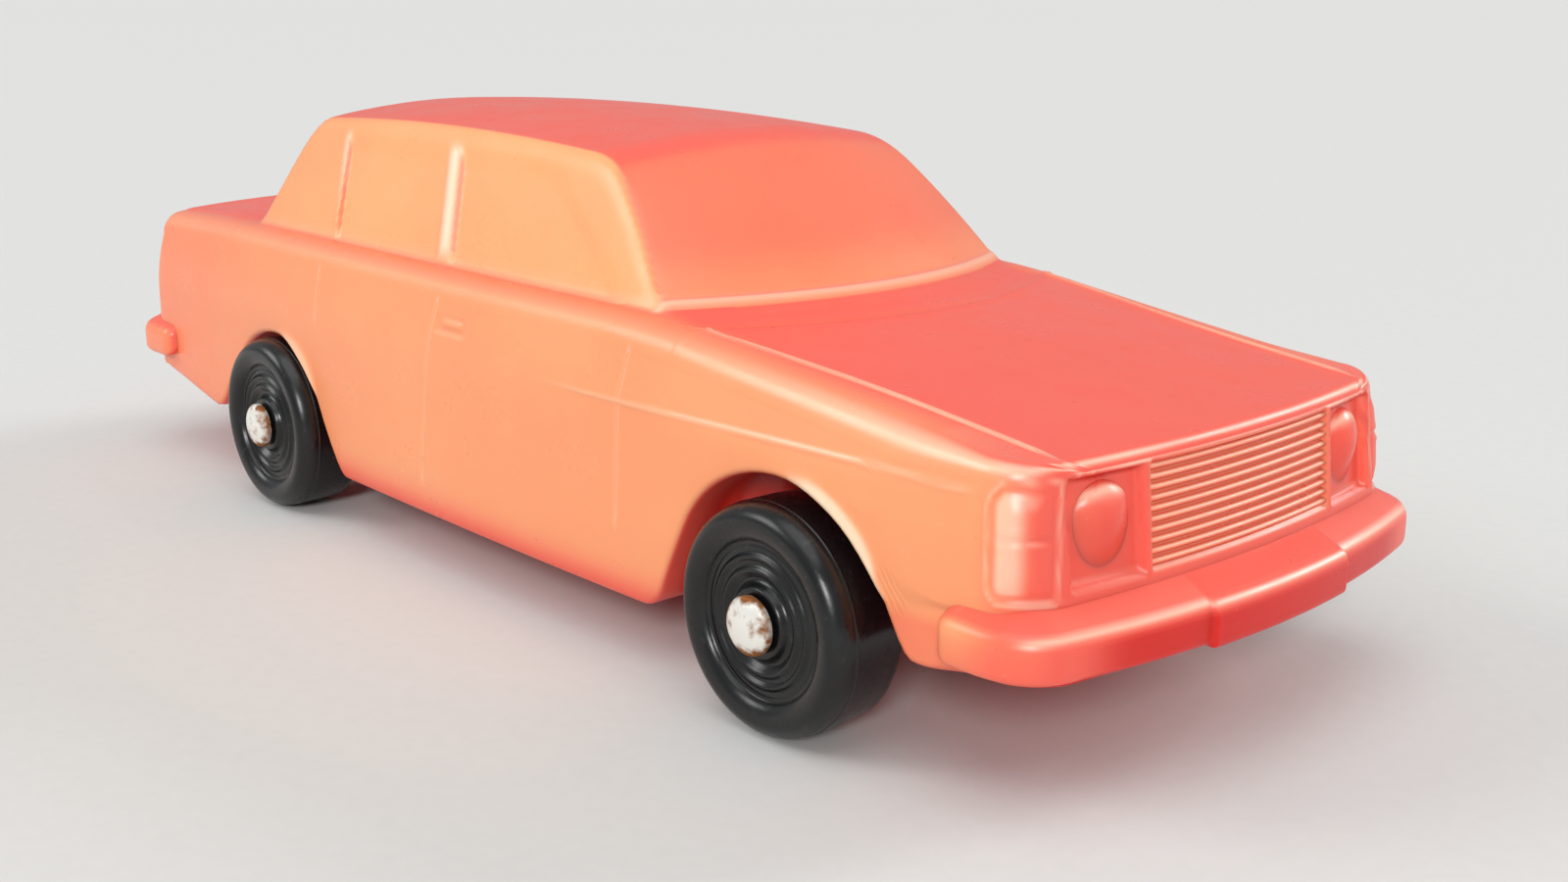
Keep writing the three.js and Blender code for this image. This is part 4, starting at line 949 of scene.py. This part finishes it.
# Worn plating: a bright, slightly dull metal, and where it is gone a rough, pitted brown that is not
# metallic. The pits are drawn coarser than they are, so that they show.
PLATING, DARK_RUST, LIGHT_RUST = "#F4F2EA", "#4A260E", "#B06A2C"
RUST_SIZE, SHADE_SIZE, PIT_SIZE, PIT_DEPTH = 1.5, 0.5, 0.35, 0.06
plate, tree, place = new_material("plated_steel")
rim = add_node(tree, "Attribute", {}, attribute_name="rim")["Fac"]
spots = add_node(tree, "TexNoise", {"Vector": place, "Scale": 1 / (RUST_SIZE * MM), "Detail": 5.0})[0]
spots = add_node(tree, "Math", {0: spots, 1: rim}, operation="ADD")[0]
rust = add_node(tree, "MapRange", {"Value": spots, 1: 0.52, 2: 0.73})[0]
shade = add_node(tree, "TexNoise", {"Vector": place, "Scale": 1 / (SHADE_SIZE * MM), "Detail": 3.0})[0]
brown = add_node(tree, "Mix", {0: shade, 6: linear(DARK_RUST), 7: linear(LIGHT_RUST)}, data_type="RGBA")[2]
colour = add_node(tree, "Mix", {0: rust, 6: linear(PLATING), 7: brown}, data_type="RGBA")[2]
metal = add_node(tree, "MapRange", {"Value": rust, 3: 0.4, 4: 0.0})[0]
rough = add_node(tree, "MapRange", {"Value": rust, 3: 0.34, 4: 0.85})[0]
pits = add_node(tree, "TexNoise", {"Vector": place, "Scale": 1 / (PIT_SIZE * MM), "Detail": 3.0})[0]
pits = add_node(tree, "Bump", {"Height": pits, "Strength": 0.2, "Distance": PIT_DEPTH * MM})[0]
skin = add_node(tree, "BsdfPrincipled",
                {"Base Color": colour, "Metallic": metal, "Roughness": rough, "Normal": pits})[0]
add_node(tree, "OutputMaterial", {"Surface": skin})

for end, axle_x, hand, side in CORNERS:
    turned = lathed(cap_section(), side, axle_x, CAP_TOP, CAP_SIDES)
    cap = mesh_from_grids(f"{end}_{hand}_dome", [turned])
    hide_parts(f"{end}_{hand}_cap")
    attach(cap, f"{end}_axle_set")
    spot, _ = vertices(cap)
    from_axle = np.hypot(spot[:, 0] - axle_x, spot[:, 2] - AXLE_Z)
    paint(cap, "rim", RIM_RUST * ease(RUST_START_R, CAP_R, from_axle))
    cap.data.materials.append(plate)

# The axles: plain drawn steel rod pressed into the caps, dull, with fine lines along it and a brown
# bloom of rust in patches.
BARE_STEEL, RUST_BLOOM, LINE_SIZE, LINE_STRETCH, BLOOM_SIZE = "#8E8D88", "#6B4A30", 0.25, 60, 2.5
steel, tree, place = new_material("drawn_steel")
drawn = add_node(tree, "Mapping", {"Vector": place, "Scale": (1, 1 / LINE_STRETCH, 1)})[0]
drawn = add_node(tree, "TexNoise", {"Vector": drawn, "Scale": 1 / (LINE_SIZE * MM), "Detail": 3.0})[0]
rough = add_node(tree, "MapRange", {"Value": drawn, 1: 0.3, 2: 0.7, 3: 0.3, 4: 0.5})[0]
bloom = add_node(tree, "TexNoise", {"Vector": place, "Scale": 1 / (BLOOM_SIZE * MM), "Detail": 4.0})[0]
bloom = add_node(tree, "MapRange", {"Value": bloom, 1: 0.5, 2: 0.7, 3: 0.0, 4: 0.8})[0]
colour = add_node(tree, "Mix", {0: bloom, 6: linear(BARE_STEEL), 7: linear(RUST_BLOOM)}, data_type="RGBA")[2]
skin = add_node(tree, "BsdfPrincipled", {"Base Color": colour, "Metallic": 0.85, "Roughness": rough})[0]
add_node(tree, "OutputMaterial", {"Surface": skin})
for end in ("front", "rear"):
    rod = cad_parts[f"{end}_axle"]
    rod.data.materials.clear()
    rod.data.materials.append(steel)

# The floor: a wide sheet of plain pale paper that reaches past the horizon of the view.
FLOOR_REACH, PAPER_DARK, PAPER_LIGHT, FIBRE_SIZE = 15000.0, "#D6D6D3", "#DCDCD9", 2
paper, tree, place = new_material("matt_paper")
fibre = add_node(tree, "TexNoise", {"Vector": place, "Scale": 1 / (FIBRE_SIZE * MM), "Detail": 4.0})[0]
colour = add_node(tree, "Mix", {0: fibre, 6: linear(PAPER_DARK), 7: linear(PAPER_LIGHT)}, data_type="RGBA")[2]
skin = add_node(tree, "BsdfPrincipled", {"Base Color": colour, "Roughness": 0.85})[0]
add_node(tree, "OutputMaterial", {"Surface": skin})
span = np.linspace(-FLOOR_REACH, FLOOR_REACH, 3)
sheet = np.stack([span[:, None] + 0 * span, span + 0 * span[:, None], np.zeros((3, 3))], -1)
floor = mesh_from_grids("studio_floor", [(sheet, True)], weld=False)
floor.data.materials.append(paper)

# The studio light: four soft, distant lamps, two on the car's right, one on its left and one above,
# and an even grey world that fills the shadows.
WORLD_TINT, WORLD_STRENGTH = (0.92, 0.94, 0.96, 1), 0.42


def soft_lamp(name, side_on, elevation, width, strength):
    """A distant lamp in degrees: side_on is its bearing from the car's right towards the nose, and width
    is how much of the sky it fills."""
    lamp = bpy.data.lights.new(name, "SUN")
    lamp.angle, lamp.energy = np.radians(width), strength
    bearing, climb = np.radians(side_on), np.radians(elevation)
    towards = Vector((np.sin(bearing) * np.cos(climb), -np.cos(bearing) * np.cos(climb), np.sin(climb)))
    holder = bpy.data.objects.new(name, lamp)
    holder.rotation_euler = (-towards).to_track_quat("-Z", "Y").to_euler()
    bpy.context.scene.collection.objects.link(holder)


soft_lamp("front_lamp", side_on=42, elevation=26, width=15, strength=1.4)
soft_lamp("side_lamp", side_on=-45, elevation=34, width=24, strength=0.7)
soft_lamp("far_lamp", side_on=160, elevation=28, width=18, strength=0.9)
soft_lamp("top_lamp", side_on=20, elevation=76, width=50, strength=0.85)
world = bpy.data.worlds.new("studio")
bpy.context.scene.world = world
world.use_nodes = True
world.node_tree.nodes["Background"].inputs["Color"].default_value = WORLD_TINT
world.node_tree.nodes["Background"].inputs["Strength"].default_value = WORLD_STRENGTH
bpy.context.scene.view_settings.view_transform = "Standard"

# The camera: where the photograph was taken from, in front of the car on its right, in metres and
# radians. The lens comes from the focal length in the picture's pixels, by the picture's width.
EYE, YAW, PITCH, ROLL = (0.18331, -0.14200, 0.07423), 2.4044, -0.2614, 0.0022
FOCAL_PIXELS, PICTURE_WIDTH, SENSOR_WIDTH = 1759.73, 1600, 36.0
camera = bpy.data.cameras.new("camera")
camera.sensor_width, camera.lens = SENSOR_WIDTH, SENSOR_WIDTH * FOCAL_PIXELS / PICTURE_WIDTH
camera.clip_start = 0.005
forward = Vector((np.cos(YAW) * np.cos(PITCH), np.sin(YAW) * np.cos(PITCH), np.sin(PITCH)))
right = Vector((np.sin(YAW), -np.cos(YAW), 0))
up = right.cross(forward)
right, up = np.cos(ROLL) * right + np.sin(ROLL) * up, np.cos(ROLL) * up - np.sin(ROLL) * right
holder = bpy.data.objects.new("camera", camera)
holder.matrix_world = Matrix((right, up, -forward)).transposed().to_4x4()
holder.location = EYE
bpy.context.scene.collection.objects.link(holder)
bpy.context.scene.camera = holder
